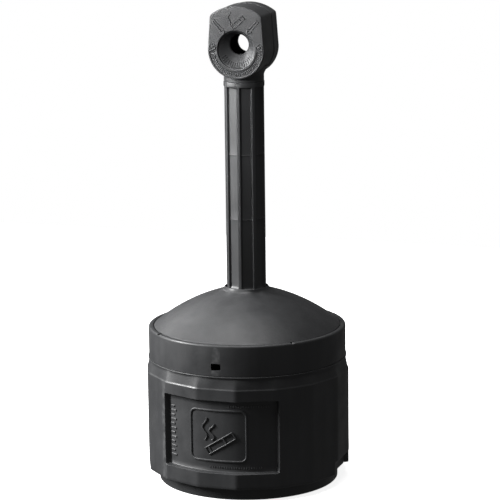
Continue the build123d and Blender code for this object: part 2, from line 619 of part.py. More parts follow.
def make_pail_wall():
    """The tapered wall with a rolled rim and holes for the rivets and the handle."""
    top_z = PAIL_Z + PAIL_H
    wall = revolve(make_face(pail_wall_section()), Axis.Z, 360)
    wall += Pos(0, 0, top_z) * Torus(pail_r(top_z) - 1.5 * PAIL_T + PAIL_ROLL_R, PAIL_ROLL_R)
    hole = x_cylinder(HOLE_SIDE_R, -RIVET_IN, RIVET_IN)
    for side in (-1, 1):
        for z in rivet_offsets():
            wall -= on_wall(Pos(0, 0, z) * hole, side)
    return wall - bail_hole()


def make_ears():
    """A riveted ear each side, with an eyelet for the bail."""
    ear = Pos(FACE_GAP + EAR_T / 2, 0, 0) * Box(EAR_T, EAR_W, EAR_H)
    ear = fillet(ear.edges().filter_by(Axis.X), EAR_CORNER_R)
    ear += x_cylinder(EYELET_R, FACE_GAP, EAR_T + EYELET_L)
    for z in rivet_offsets():
        ear -= Pos(0, 0, z) * x_cylinder(HOLE_SIDE_R, 0, EAR_T + EYELET_L)
    return on_wall(ear, -1) - bail_hole(), on_wall(ear, 1) - bail_hole()


def make_rivets():
    """Two rivets for each ear, headed on both sides."""
    out = FACE_GAP + EAR_T
    inside = -PAIL_T - FACE_GAP
    rivet = x_cylinder(RIVET_R, inside - RIVET_HEAD_T / 2, out + RIVET_HEAD_T / 2)
    rivet += x_cylinder(RIVET_HEAD_R, out, out + RIVET_HEAD_T)
    rivet += x_cylinder(RIVET_HEAD_R, inside - RIVET_HEAD_T, inside)
    places = [on_wall(Pos(0, 0, z) * rivet, side) for side in (-1, 1) for z in rivet_offsets()]
    return Compound(children=places)


def bail_hang():
    """Degrees below level at which the handle's loop comes to rest beside the pail's wall."""
    reach = pail_r(PIVOT_Z) + BAIL_WIRE_R + BAIL_GAP
    return degrees(PAIL_SLOPE + acos(reach * cos(PAIL_SLOPE) / BAIL_R))


def make_bail():
    """The wire handle, hanging in front of the pail with its loop near the wall."""
    section = Plane(origin=(BAIL_R, 0, 0), x_dir=(1, 0, 0), z_dir=(0, 1, 0)) * Circle(BAIL_WIRE_R)
    wire = revolve(section, Axis.Z, -180)
    pin = x_cylinder(BAIL_WIRE_R, pail_r(PIVOT_Z) + BAIL_END, BAIL_R)
    pin += Pos(BAIL_R, 0, 0) * Sphere(BAIL_WIRE_R)
    wire += pin + at_angle(pin, 180)
    return Pos(0, 0, PIVOT_Z) * Rot(bail_hang(), 0, 0) * wire


def main():
    """Writes one STEP file for each sub-part."""
    os.makedirs("parts", exist_ok=True)
    head_front, head_rear, head_screws = make_head()
    ear_left, ear_right = make_ears()
    nodes = {
        "base_shell": make_base(),
        "cover_dome": make_cover(),
        "neck_tube": make_neck(),
        "neck_screws": make_neck_screws(),
        "head_front_shell": head_front,
        "head_rear_shell": head_rear,
        "head_screws": head_screws,
        "pail_wall": make_pail_wall(),
        "pail_bottom": make_pail_bottom(),
        "pail_ear_left": ear_left,
        "pail_ear_right": ear_right,
        "ear_rivets": make_rivets(),
        "pail_bail": make_bail(),
    }
    for name, shape in nodes.items():
        export_step(shape, f"parts/{name}.step")


main()
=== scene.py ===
import logging
from dataclasses import dataclass
from enum import Enum
from math import asin, atan2, ceil, cos, degrees, hypot, pi, radians, sin, sqrt, tan
from typing import Callable, NamedTuple, Sequence

import bmesh
import bpy
from mathutils import Matrix, Vector


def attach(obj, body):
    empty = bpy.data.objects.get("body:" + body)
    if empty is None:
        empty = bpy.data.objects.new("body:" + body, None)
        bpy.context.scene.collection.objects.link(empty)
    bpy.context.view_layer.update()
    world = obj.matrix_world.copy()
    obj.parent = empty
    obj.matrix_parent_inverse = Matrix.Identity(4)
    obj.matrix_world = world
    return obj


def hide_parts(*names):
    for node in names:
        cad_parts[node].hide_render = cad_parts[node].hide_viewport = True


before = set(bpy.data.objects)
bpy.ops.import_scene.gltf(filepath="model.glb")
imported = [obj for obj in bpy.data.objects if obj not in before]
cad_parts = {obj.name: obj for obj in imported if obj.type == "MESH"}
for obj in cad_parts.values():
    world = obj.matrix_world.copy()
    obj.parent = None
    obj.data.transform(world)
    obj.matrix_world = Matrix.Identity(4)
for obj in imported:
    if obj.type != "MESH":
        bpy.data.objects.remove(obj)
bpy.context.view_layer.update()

log = logging.getLogger("receptacle")

MM = 0.001                # metres in a millimetre
LONGEST_RUN = 7.0         # longest straight piece of a raised line, in millimetres
SAME_PLACE = 2e-6         # points closer than this are one point, in metres
NO_LENGTH = 1e-6          # an edge shorter than this is taken out, in metres
NO_BEND = 0.01            # a bend smaller than this stays a sharp corner, in millimetres
Point = tuple[float, float]
Corner = tuple[float, float, float]
Surface = Callable[[float, float, float], Vector]
Colour = tuple[float, float, float]
Socket = bpy.types.NodeSocket


# ---------------------------------------------------------------- shapes shared by the pieces
def ease(value: float) -> float:
    """A smooth step from 0 to 1."""
    value = min(max(value, 0.0), 1.0)
    return value * value * (3 - 2 * value)


def mix(low: float, high: float, share: float) -> float:
    """The value that lies that share of the way from low to high."""
    return low + (high - low) * share


def rounded(corners: Sequence[Corner], steps: int = 5) -> list[Point]:
    """A path through corners, each with its own radius.

    Args:
        corners: (first, second, radius) of each corner, in millimetres; radius 0 stays sharp.
        steps: short runs in each round bend.

    Returns:
        The points of the path.
    """
    path = [corners[0][:2]]
    for before, here, after in zip(corners, corners[1:], corners[2:]):
        corner = Vector(here[:2])
        back = Vector(before[:2]) - corner
        ahead = Vector(after[:2]) - corner
        turn = pi - back.angle(ahead)
        reach = here[2] * tan(turn / 2)
        reach = min(reach, 0.49 * back.length, 0.49 * ahead.length)
        if reach < NO_BEND:
            path.append(here[:2])
            continue
        start = corner + back.normalized() * reach
        end = corner + ahead.normalized() * reach
        for k in range(steps + 1):
            t = k / steps
            bend = start * (1 - t) ** 2 + corner * 2 * t * (1 - t) + end * t ** 2
            path.append((bend.x, bend.y))
    path.append(corners[-1][:2])
    return path


def disc_section(reach: float, low: float, high: float, bevel: float) -> list[Corner]:
    """The half section of a plain round disc or boss."""
    return [(0, low, 0), (reach, low, 0), (reach, high, bevel), (0, high, 0)]


def grid_skin(mesh: bmesh.types.BMesh, columns: int, rows: int, place: Callable[[int, int], Vector]) -> None:
    """Adds a grid whose points are set by column and row, and closes its seams and poles.

    Args:
        mesh: the mesh that takes the grid.
        columns: number of faces along the first direction.
        rows: number of faces along the second direction.
        place: gives the place of a point, in millimetres, from its column and row.
    """
    grid = bmesh.ops.create_grid(mesh, x_segments=columns, y_segments=rows, size=1.0)
    for vertex in grid["verts"]:
        column = round((vertex.co.x + 1) / 2 * columns)
        row = round((vertex.co.y + 1) / 2 * rows)
        vertex.co = place(column, row) * MM
    bmesh.ops.remove_doubles(mesh, verts=mesh.verts[:], dist=SAME_PLACE)
    bmesh.ops.dissolve_degenerate(mesh, edges=mesh.edges[:], dist=NO_LENGTH)


def around(radius: float, angle: float, height: float) -> Vector:
    """A point about the neck's axis; angle 0 faces the front and grows towards +X."""
    turn = radians(angle)
    return Vector((radius * sin(turn), -radius * cos(turn), height))


def turned(mesh: bmesh.types.BMesh, path: Sequence[Point], angles: Sequence[float],
           shift: Callable[[float, float, float], Point] | None = None) -> None:
    """Adds a surface of revolution about the neck's axis.

    Args:
        mesh: the mesh that takes the surface.
        path: (radius, height) points; a closed path starts and ends at one point.
        angles: the columns, in degrees, from 0 to 360.
        shift: moves a point, given its radius, height and angle.
    """
    def place(column: int, row: int) -> Vector:
        """Gives the place of a column and a row of the grid."""
        radius, height = path[row]
        if shift:
            radius, height = shift(radius, height, angles[column])
        return around(radius, angles[column], height)

    grid_skin(mesh, len(angles) - 1, len(path) - 1, place)


def even_angles(count: int) -> list[float]:
    """Columns spread evenly round the axis."""
    return [360 * k / count for k in range(count + 1)]


def divided(points: Sequence[Vector], longest: float) -> list[Vector]:
    """The same path with its long runs cut into equal shorter ones, so that it can follow a curve.

    Args:
        points: the path.
        longest: longest run that stays whole.

    Returns:
        The path with its added points.
    """
    path = [points[0]]
    for before, after in zip(points, points[1:]):
        count = max(1, ceil((after - before).length / longest))
        path += [before.lerp(after, (k + 1) / count) for k in range(count)]
    return path


def stroke(mesh: bmesh.types.BMesh, line: Sequence[Point], surface: Surface, width: float, proud: float,
           closed: bool = False) -> None:
    """Adds a raised moulded line that lies on a surface.

    Args:
        mesh: the mesh that takes the line.
        line: points on the surface, in its own two coordinates.
        surface: gives a place from two coordinates and a height above the surface.
        width: width of the line.
        proud: its height.
        closed: whether the line returns to its start.
    """
    points = [Vector(p) for p in line]
    if closed:
        points.append(points[0])
    points = divided(points, LONGEST_RUN)
    bevel = min(0.3 * width, 0.6 * proud)
    half = width / 2
    section = [(-half, -proud), (-half, proud - bevel), (-half + bevel * 0.35, proud - bevel * 0.3),
               (-half + bevel, proud), (half - bevel, proud), (half - bevel * 0.35, proud - bevel * 0.3),
               (half, proud - bevel), (half, -proud), (-half, -proud)]
    last = len(points) - 1
    sides = []
    for k in range(len(points)):
        before = points[k - 1] if k else (points[last - 1] if closed else points[0])
        after = points[k + 1] if k < last else (points[1] if closed else points[last])
        into = (points[k] - before).normalized() if points[k] != before else (after - points[k]).normalized()
        out = (after - points[k]).normalized() if points[k] != after else into
        along = (into + out).normalized()
        miter = 1 / max(along.dot(into), 0.5)
        sides.append(Vector((-along.y, along.x)) * miter)

    def place(column: int, row: int) -> Vector:
        """Gives the place of a column and a row of the grid."""
        across, height = section[row]
        spot = points[column] + sides[column] * across
        return surface(spot.x, spot.y, height)

    grid_skin(mesh, last, len(section) - 1, place)
    if not closed:
        bmesh.ops.holes_fill(mesh, edges=[e for e in mesh.edges if e.is_boundary], sides=12)


def raised_disc(mesh: bmesh.types.BMesh, centre: Point, surface: Surface, radius: float,
                proud: float) -> None:
    """Adds a small round boss on a surface.

    Args:
        mesh: the mesh that takes it.
        centre: its middle, in the surface's two coordinates.
        surface: gives a place from two coordinates and a height.
        radius: its radius.
        proud: its height.
    """
    path = rounded(disc_section(radius, -proud, proud, 0.5 * proud), 3)
    angles = even_angles(32)

    def place(column: int, row: int) -> Vector:
        """Gives the place of a column and a row of the grid."""
        reach, height = path[row]
        turn = radians(angles[column])
        return surface(centre[0] + reach * cos(turn), centre[1] + reach * sin(turn), height)

    grid_skin(mesh, len(angles) - 1, len(path) - 1, place)


def block(mesh: bmesh.types.BMesh, low: Vector, high: Vector, bevel: float) -> None:
    """Adds a box between two corners, in millimetres, with rounded edges.

    Args:
        mesh: the mesh that takes it.
        low: the corner with the least coordinates.
        high: the corner with the greatest.
        bevel: width of its rounded edges.
    """
    cube = bmesh.ops.create_cube(mesh, size=1.0)
    middle = (low + high) / 2 * MM
    spread = (high - low) * MM
    bmesh.ops.scale(mesh, vec=spread, verts=cube["verts"])
    bmesh.ops.translate(mesh, vec=middle, verts=cube["verts"])
    edges = list({edge for vertex in cube["verts"] for edge in vertex.link_edges})
    bmesh.ops.bevel(mesh, geom=edges, offset=bevel * MM, segments=3, profile=0.5, affect="EDGES",
                    material=-1)


def finish_mesh(mesh: bmesh.types.BMesh, name: str, crease: float = 40.0) -> bpy.types.Object:
    """Turns a bmesh into a piece with outward faces, smooth but for its creases.

    Args:
        mesh: the finished bmesh, which is freed.
        name: the piece's name.
        crease: edges bent more than this many degrees are sharp.

    Returns:
        The new object.
    """
    bmesh.ops.recalc_face_normals(mesh, faces=mesh.faces[:])
    data = bpy.data.meshes.new(name)
    mesh.to_mesh(data)
    mesh.free()
    piece = bpy.data.objects.new(name, data)
    bpy.context.scene.collection.objects.link(piece)
    mark_creases(piece, crease)
    return piece


def mark_creases(piece: bpy.types.Object, crease: float) -> None:
    """Smooths a piece's faces and marks the edges bent more than crease degrees as sharp.

    Args:
        piece: the piece.
        crease: the angle, in degrees.
    """
    mesh = bmesh.new()
    mesh.from_mesh(piece.data)
    for face in mesh.faces:
        face.smooth = True
    for edge in mesh.edges:
        edge.smooth = edge.calc_face_angle(0.0) < radians(crease)
    mesh.to_mesh(piece.data)
    mesh.free()


def carve(piece: bpy.types.Object, tool: bmesh.types.BMesh, crease: float = 40.0) -> None:
    """Cuts a tool's shape out of a piece, and frees the tool.

    Args:
        piece: the piece that is cut.
        tool: the shape to take away.
        crease: edges bent more than this many degrees are sharp.
    """
    bmesh.ops.recalc_face_normals(tool, faces=tool.faces[:])
    data = bpy.data.meshes.new("tool")
    tool.to_mesh(data)
    tool.free()
    cutter = bpy.data.objects.new("tool", data)
    bpy.context.scene.collection.objects.link(cutter)
    cut = piece.modifiers.new("cut", "BOOLEAN")
    cut.object = cutter
    cut.operation = "DIFFERENCE"
    cut.solver = "EXACT"
    bpy.context.view_layer.update()
    graph = bpy.context.evaluated_depsgraph_get()
    carved = bpy.data.meshes.new_from_object(piece.evaluated_get(graph))
    piece.modifiers.clear()
    piece.data = carved
    bpy.data.objects.remove(cutter)
    bpy.data.meshes.remove(data)
    mark_creases(piece, crease)


# ---------------------------------------------------------------- finishes
class Nodes:
    """A short way to lay out a material's nodes."""

    def __init__(self, name: str) -> None:
        """Starts a material with a single shader."""
        self.material = bpy.data.materials.new(name)
        self.material.use_nodes = True
        self.tree = self.material.node_tree
        self.shader = self.tree.nodes["Principled BSDF"]
        self.place = self.add("ShaderNodeTexCoord").outputs["Object"]

    def add(self, kind: str, **settings: object) -> bpy.types.Node:
        """Adds a node and sets its properties.

        Args:
            kind: the node's type.
            settings: its properties by name.

        Returns:
            The node.
        """
        node = self.tree.nodes.new(kind)
        for key, value in settings.items():
            setattr(node, key, value)
        return node

    def link(self, source: Socket, target: Socket) -> None:
        """Joins two sockets."""
        self.tree.links.new(source, target)

    def stretched(self, scale: Sequence[float]) -> Socket:
        """Object coordinates with each direction scaled by itself.

        Args:
            scale: the factor of each direction.

        Returns:
            The scaled coordinates.
        """
        mapping = self.add("ShaderNodeMapping")
        mapping.inputs["Scale"].default_value = scale
        self.link(self.place, mapping.inputs["Vector"])
        return mapping.outputs["Vector"]

    def noise(self, scale: float, detail: float = 4.0, vector: Socket | None = None) -> Socket:
        """The value of a noise of a given scale per metre.

        Args:
            scale: scale of the noise, per metre.
            detail: its finer layers.
            vector: the coordinates, or None for the object's own.

        Returns:
            The value.
        """
        node = self.add("ShaderNodeTexNoise")
        node.inputs["Scale"].default_value = scale
        node.inputs["Detail"].default_value = detail
        self.link(vector or self.place, node.inputs["Vector"])
        return node.outputs["Fac"]

    def ramp(self, value: Socket, low: float, high: float, at: Point = (0.3, 0.7)) -> Socket:
        """Spreads a value from the span at to the span low to high, and holds it there.

        Args:
            value: the value to spread.
            low: result at the start of at.
            high: result at its end.
            at: span of the value.

        Returns:
            The result.
        """
        node = self.add("ShaderNodeMapRange")
        for key, number in (("From Min", at[0]), ("From Max", at[1]), ("To Min", low), ("To Max", high)):
            node.inputs[key].default_value = number
        self.link(value, node.inputs["Value"])
        return node.outputs["Result"]

    def combine(self, operation: str, first: Socket, second: Socket) -> Socket:
        """Joins two values by ADD, MULTIPLY or another operation of the Math node.

        Args:
            operation: the operation's name.
            first: the first value.
            second: the second value.

        Returns:
            The result.
        """
        node = self.add("ShaderNodeMath", operation=operation)
        self.link(first, node.inputs[0])
        self.link(second, node.inputs[1])
        return node.outputs[0]

    def tint(self, dark: Colour, light: Colour, share: Socket) -> Socket:
        """Mixes two colours by a value.

        Args:
            dark: colour where the share is 0.
            light: colour where it is 1.
            share: the value.

        Returns:
            The colour.
        """
        node = self.add("ShaderNodeMix", data_type="RGBA")
        node.inputs[6].default_value = (*dark, 1.0)
        node.inputs[7].default_value = (*light, 1.0)
        self.link(share, node.inputs[0])
        return node.outputs[2]

    def bump(self, height: Socket, depth: float, strength: float, under: Socket | None = None) -> Socket:
        """A relief of a height value; depth is in metres.

        Args:
            height: the value that makes the relief.
            depth: its depth.
            strength: how much of it shows.
            under: a relief below it, if any.

        Returns:
            The bent normal.
        """
        node = self.add("ShaderNodeBump")
        node.inputs["Strength"].default_value = strength
        node.inputs["Distance"].default_value = depth
        self.link(height, node.inputs["Height"])
        if under:
            self.link(under, node.inputs["Normal"])
        return node.outputs["Normal"]


@dataclass(frozen=True)
class MouldedPolyethylene:
    """Charcoal polyethylene with a fine mould grain, faint flow marks and lightly rubbed edges."""

    name: str = "charcoal_polyethylene"
    deep: Colour = (0.020, 0.0205, 0.0215)
    worn: Colour = (0.040, 0.041, 0.043)
    rubbed: Colour = (0.085, 0.086, 0.088)
    roughness: float = 0.44
    sheen: float = 0.5
    cloud_per_m: float = 9.0
    flow_per_m: float = 7.0
    flow_run: tuple[float, float, float] = (9.0, 9.0, 0.6)
    speck_per_m: float = 620.0
    scuff_per_m: float = 85.0
    patch_per_m: float = 26.0
    fine_per_m: float = 340.0
    grain_per_m: float = 1500.0
    grain_depth: float = 0.00012
    sink_per_m: float = 14.0
    sink_depth: float = 0.0022

    def make(self) -> bpy.types.Material:
        """Builds the material.

        Returns:
            The material.
        """
        nodes = Nodes(self.name)
        cloud = nodes.noise(self.cloud_per_m, 5.0)
        flow = nodes.noise(self.flow_per_m, 4.0, nodes.stretched(self.flow_run))
        tone = nodes.combine("MULTIPLY", nodes.ramp(cloud, 0.35, 1.0), nodes.ramp(flow, 0.55, 1.0))
        speck = nodes.ramp(nodes.noise(self.speck_per_m, 2.0), 0.0, 0.22, (0.62, 0.74))
        tone = nodes.combine("ADD", tone, speck)
        plain = nodes.tint(self.deep, self.worn, tone)
        point = nodes.add("ShaderNodeNewGeometry").outputs["Pointiness"]
        edge = nodes.ramp(point, 0.0, 1.0, (0.53, 0.60))
        wear = nodes.ramp(nodes.noise(self.scuff_per_m, 6.0), 0.1, 0.8, (0.35, 0.65))
        scuff = nodes.combine("MULTIPLY", edge, wear)
        colour = nodes.add("ShaderNodeMix", data_type="RGBA")
        nodes.link(scuff, colour.inputs[0])
        nodes.link(plain, colour.inputs[6])
        colour.inputs[7].default_value = (*self.rubbed, 1.0)
        nodes.link(colour.outputs[2], nodes.shader.inputs["Base Color"])
        patchy = nodes.ramp(nodes.noise(self.patch_per_m, 6.0), self.roughness - 0.06, self.roughness + 0.1)
        fine = nodes.ramp(nodes.noise(self.fine_per_m, 3.0), -0.04, 0.05)
        nodes.link(nodes.combine("ADD", patchy, fine), nodes.shader.inputs["Roughness"])
        cells = nodes.add("ShaderNodeTexVoronoi")
        cells.inputs["Scale"].default_value = self.grain_per_m * 0.55
        nodes.link(nodes.place, cells.inputs["Vector"])
        grain = nodes.combine("ADD", nodes.noise(self.grain_per_m, 3.0), cells.outputs["Distance"])
        relief = nodes.bump(grain, self.grain_depth, 0.32)
        relief = nodes.bump(nodes.noise(self.sink_per_m, 2.0), self.sink_depth, 0.25, relief)
        nodes.link(relief, nodes.shader.inputs["Normal"])
        nodes.shader.inputs["Specular IOR Level"].default_value = self.sheen
        return nodes.material


@dataclass(frozen=True)
class GalvanisedSheet:
    """Hot-dip zinc with a spangle, light scratches and a white bloom."""

    name: str = "galvanised_sheet"
    dark: Colour = (0.36, 0.375, 0.39)
    light: Colour = (0.66, 0.68, 0.70)
    spangle_per_m: float = 95.0

    def make(self) -> bpy.types.Material:
        """Builds the material.

        Returns:
            The material.
        """
        nodes = Nodes(self.name)
        nodes.shader.inputs["Metallic"].default_value = 1.0
        cells = nodes.add("ShaderNodeTexVoronoi")
        cells.inputs["Scale"].default_value = self.spangle_per_m
        nodes.link(nodes.place, cells.inputs["Vector"])
        split = nodes.add("ShaderNodeSeparateColor")
        nodes.link(cells.outputs["Color"], split.inputs["Color"])
        bloom = nodes.ramp(nodes.noise(16.0, 6.0), 0.0, 0.6)
        share = nodes.combine("ADD", nodes.ramp(split.outputs["Red"], 0.1, 0.7, (0, 1)), bloom)
        nodes.link(nodes.tint(self.dark, self.light, share), nodes.shader.inputs["Base Color"])
        by_cell = nodes.ramp(split.outputs["Green"], 0.38, 0.56, (0, 1))
        rough = nodes.combine("ADD", by_cell, nodes.ramp(nodes.noise(240.0), 0.0, 0.1))
        nodes.link(rough, nodes.shader.inputs["Roughness"])
        scratch = nodes.noise(40.0, 5.0, nodes.stretched((6.0, 6.0, 60.0)))
        relief = nodes.bump(nodes.combine("ADD", split.outputs["Blue"], scratch), 0.0002, 0.25)
        nodes.link(relief, nodes.shader.inputs["Normal"])
        return nodes.material


@dataclass(frozen=True)
class PlatedSteel:
    """Drawn or turned steel with a dull zinc plating, used for wire, rivets and screws."""

    name: str
    dark: Colour
    light: Colour
    roughness: float

    def make(self) -> bpy.types.Material:
        """Builds the material.

        Returns:
            The material.
        """
        nodes = Nodes(self.name)
        nodes.shader.inputs["Metallic"].default_value = 1.0
        stain = nodes.ramp(nodes.noise(150.0, 6.0), 0.0, 1.0)
        nodes.link(nodes.tint(self.dark, self.light, stain), nodes.shader.inputs["Base Color"])
        rough = nodes.ramp(nodes.noise(420.0, 4.0), self.roughness - 0.08, self.roughness + 0.12)
        nodes.link(rough, nodes.shader.inputs["Roughness"])
        nodes.link(nodes.bump(nodes.noise(900.0, 4.0), 0.0001, 0.3), nodes.shader.inputs["Normal"])
        return nodes.material


@dataclass(frozen=True)
class StudioPaper:
    """Pale seamless paper with a slight tooth, lit from below so that its far edge melts into white."""

    name: str = "studio_paper"
    pale: Colour = (0.86, 0.86, 0.86)
    bright: Colour = (0.93, 0.93, 0.93)
    glow: float = 0.86
    fade: Point = (0.4, 1.6)

    def make(self) -> bpy.types.Material:
        """Builds the material.

        Returns:
            The material.
        """
        nodes = Nodes(self.name)
        nodes.link(nodes.tint(self.pale, self.bright, nodes.noise(3.0)), nodes.shader.inputs["Base Color"])
        nodes.link(nodes.ramp(nodes.noise(30.0), 0.85, 0.95), nodes.shader.inputs["Roughness"])
        nodes.link(nodes.bump(nodes.noise(700.0), 0.0001, 0.2), nodes.shader.inputs["Normal"])
        nodes.shader.inputs["Specular IOR Level"].default_value = 0.1
        nodes.shader.inputs["Emission Color"].default_value = (1.0, 1.0, 1.0, 1.0)
        reach = nodes.add("ShaderNodeVectorMath", operation="LENGTH")
        nodes.link(nodes.place, reach.inputs[0])
        glow = nodes.ramp(reach.outputs["Value"], self.glow, 1.0, self.fade)
        nodes.link(glow, nodes.shader.inputs["Emission Strength"])
        return nodes.material


class Finish(Enum):
    """The finishes of the receptacle, each named after the record's material slot."""

    PLASTIC = "charcoal_hdpe"
    SHEET = "galvanised_steel"
    WIRE = "zinc_wire"
    RIVET = "rivet_steel"
    SCREW = "screw_steel"


class Palette:
    """Holds one material for each finish, and dresses pieces and carried-over nodes with it."""

    def __init__(self) -> None:
        """Builds all the materials."""
        self.materials = {
            Finish.PLASTIC: MouldedPolyethylene().make(),
            Finish.SHEET: GalvanisedSheet().make(),
            Finish.WIRE: PlatedSteel("drawn_zinc_wire", (0.34, 0.34, 0.35), (0.58, 0.59, 0.6), 0.36).make(),
            Finish.RIVET: PlatedSteel("plated_rivet", (0.4, 0.4, 0.42), (0.66, 0.66, 0.67), 0.32).make(),
            Finish.SCREW: PlatedSteel("turned_screw", (0.3, 0.3, 0.31), (0.5, 0.5, 0.51), 0.3).make(),
        }

    def dress(self, piece: bpy.types.Object, finish: Finish, body: str, *nodes: str) -> bpy.types.Object:
        """Gives a new piece its finish and its body, and hides the nodes that it replaces.

        Args:
            piece: the new piece.
            finish: its finish.
            body: the body that it rides on.
            nodes: the nodes that it replaces.

        Returns:
            The same piece.
        """
        piece.data.materials.clear()
        piece.data.materials.append(self.materials[finish])
        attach(piece, body)
        if nodes:
            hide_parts(*nodes)
        log.info("%s: %d faces, rides on %s", piece.name, len(piece.data.polygons), body)
        return piece

    def repaint(self, node: str, finish: Finish) -> None:
        """Gives a carried-over node its finish.

        Args:
            node: the node's name.
            finish: its new finish.
        """
        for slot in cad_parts[node].material_slots:
            slot.material = self.materials[finish]
        log.info("%s: kept as it is, repainted", node)


# ---------------------------------------------------------------- sub-assemblies, sizes in millimetres
class WallRow(NamedTuple):
    """One level of the base's skin: a circle, a facet outline, or a mix of both."""

    radius: float
    height: float
    faceted: float = 0.0
    inset: float = 0.0
    inner: bool = False


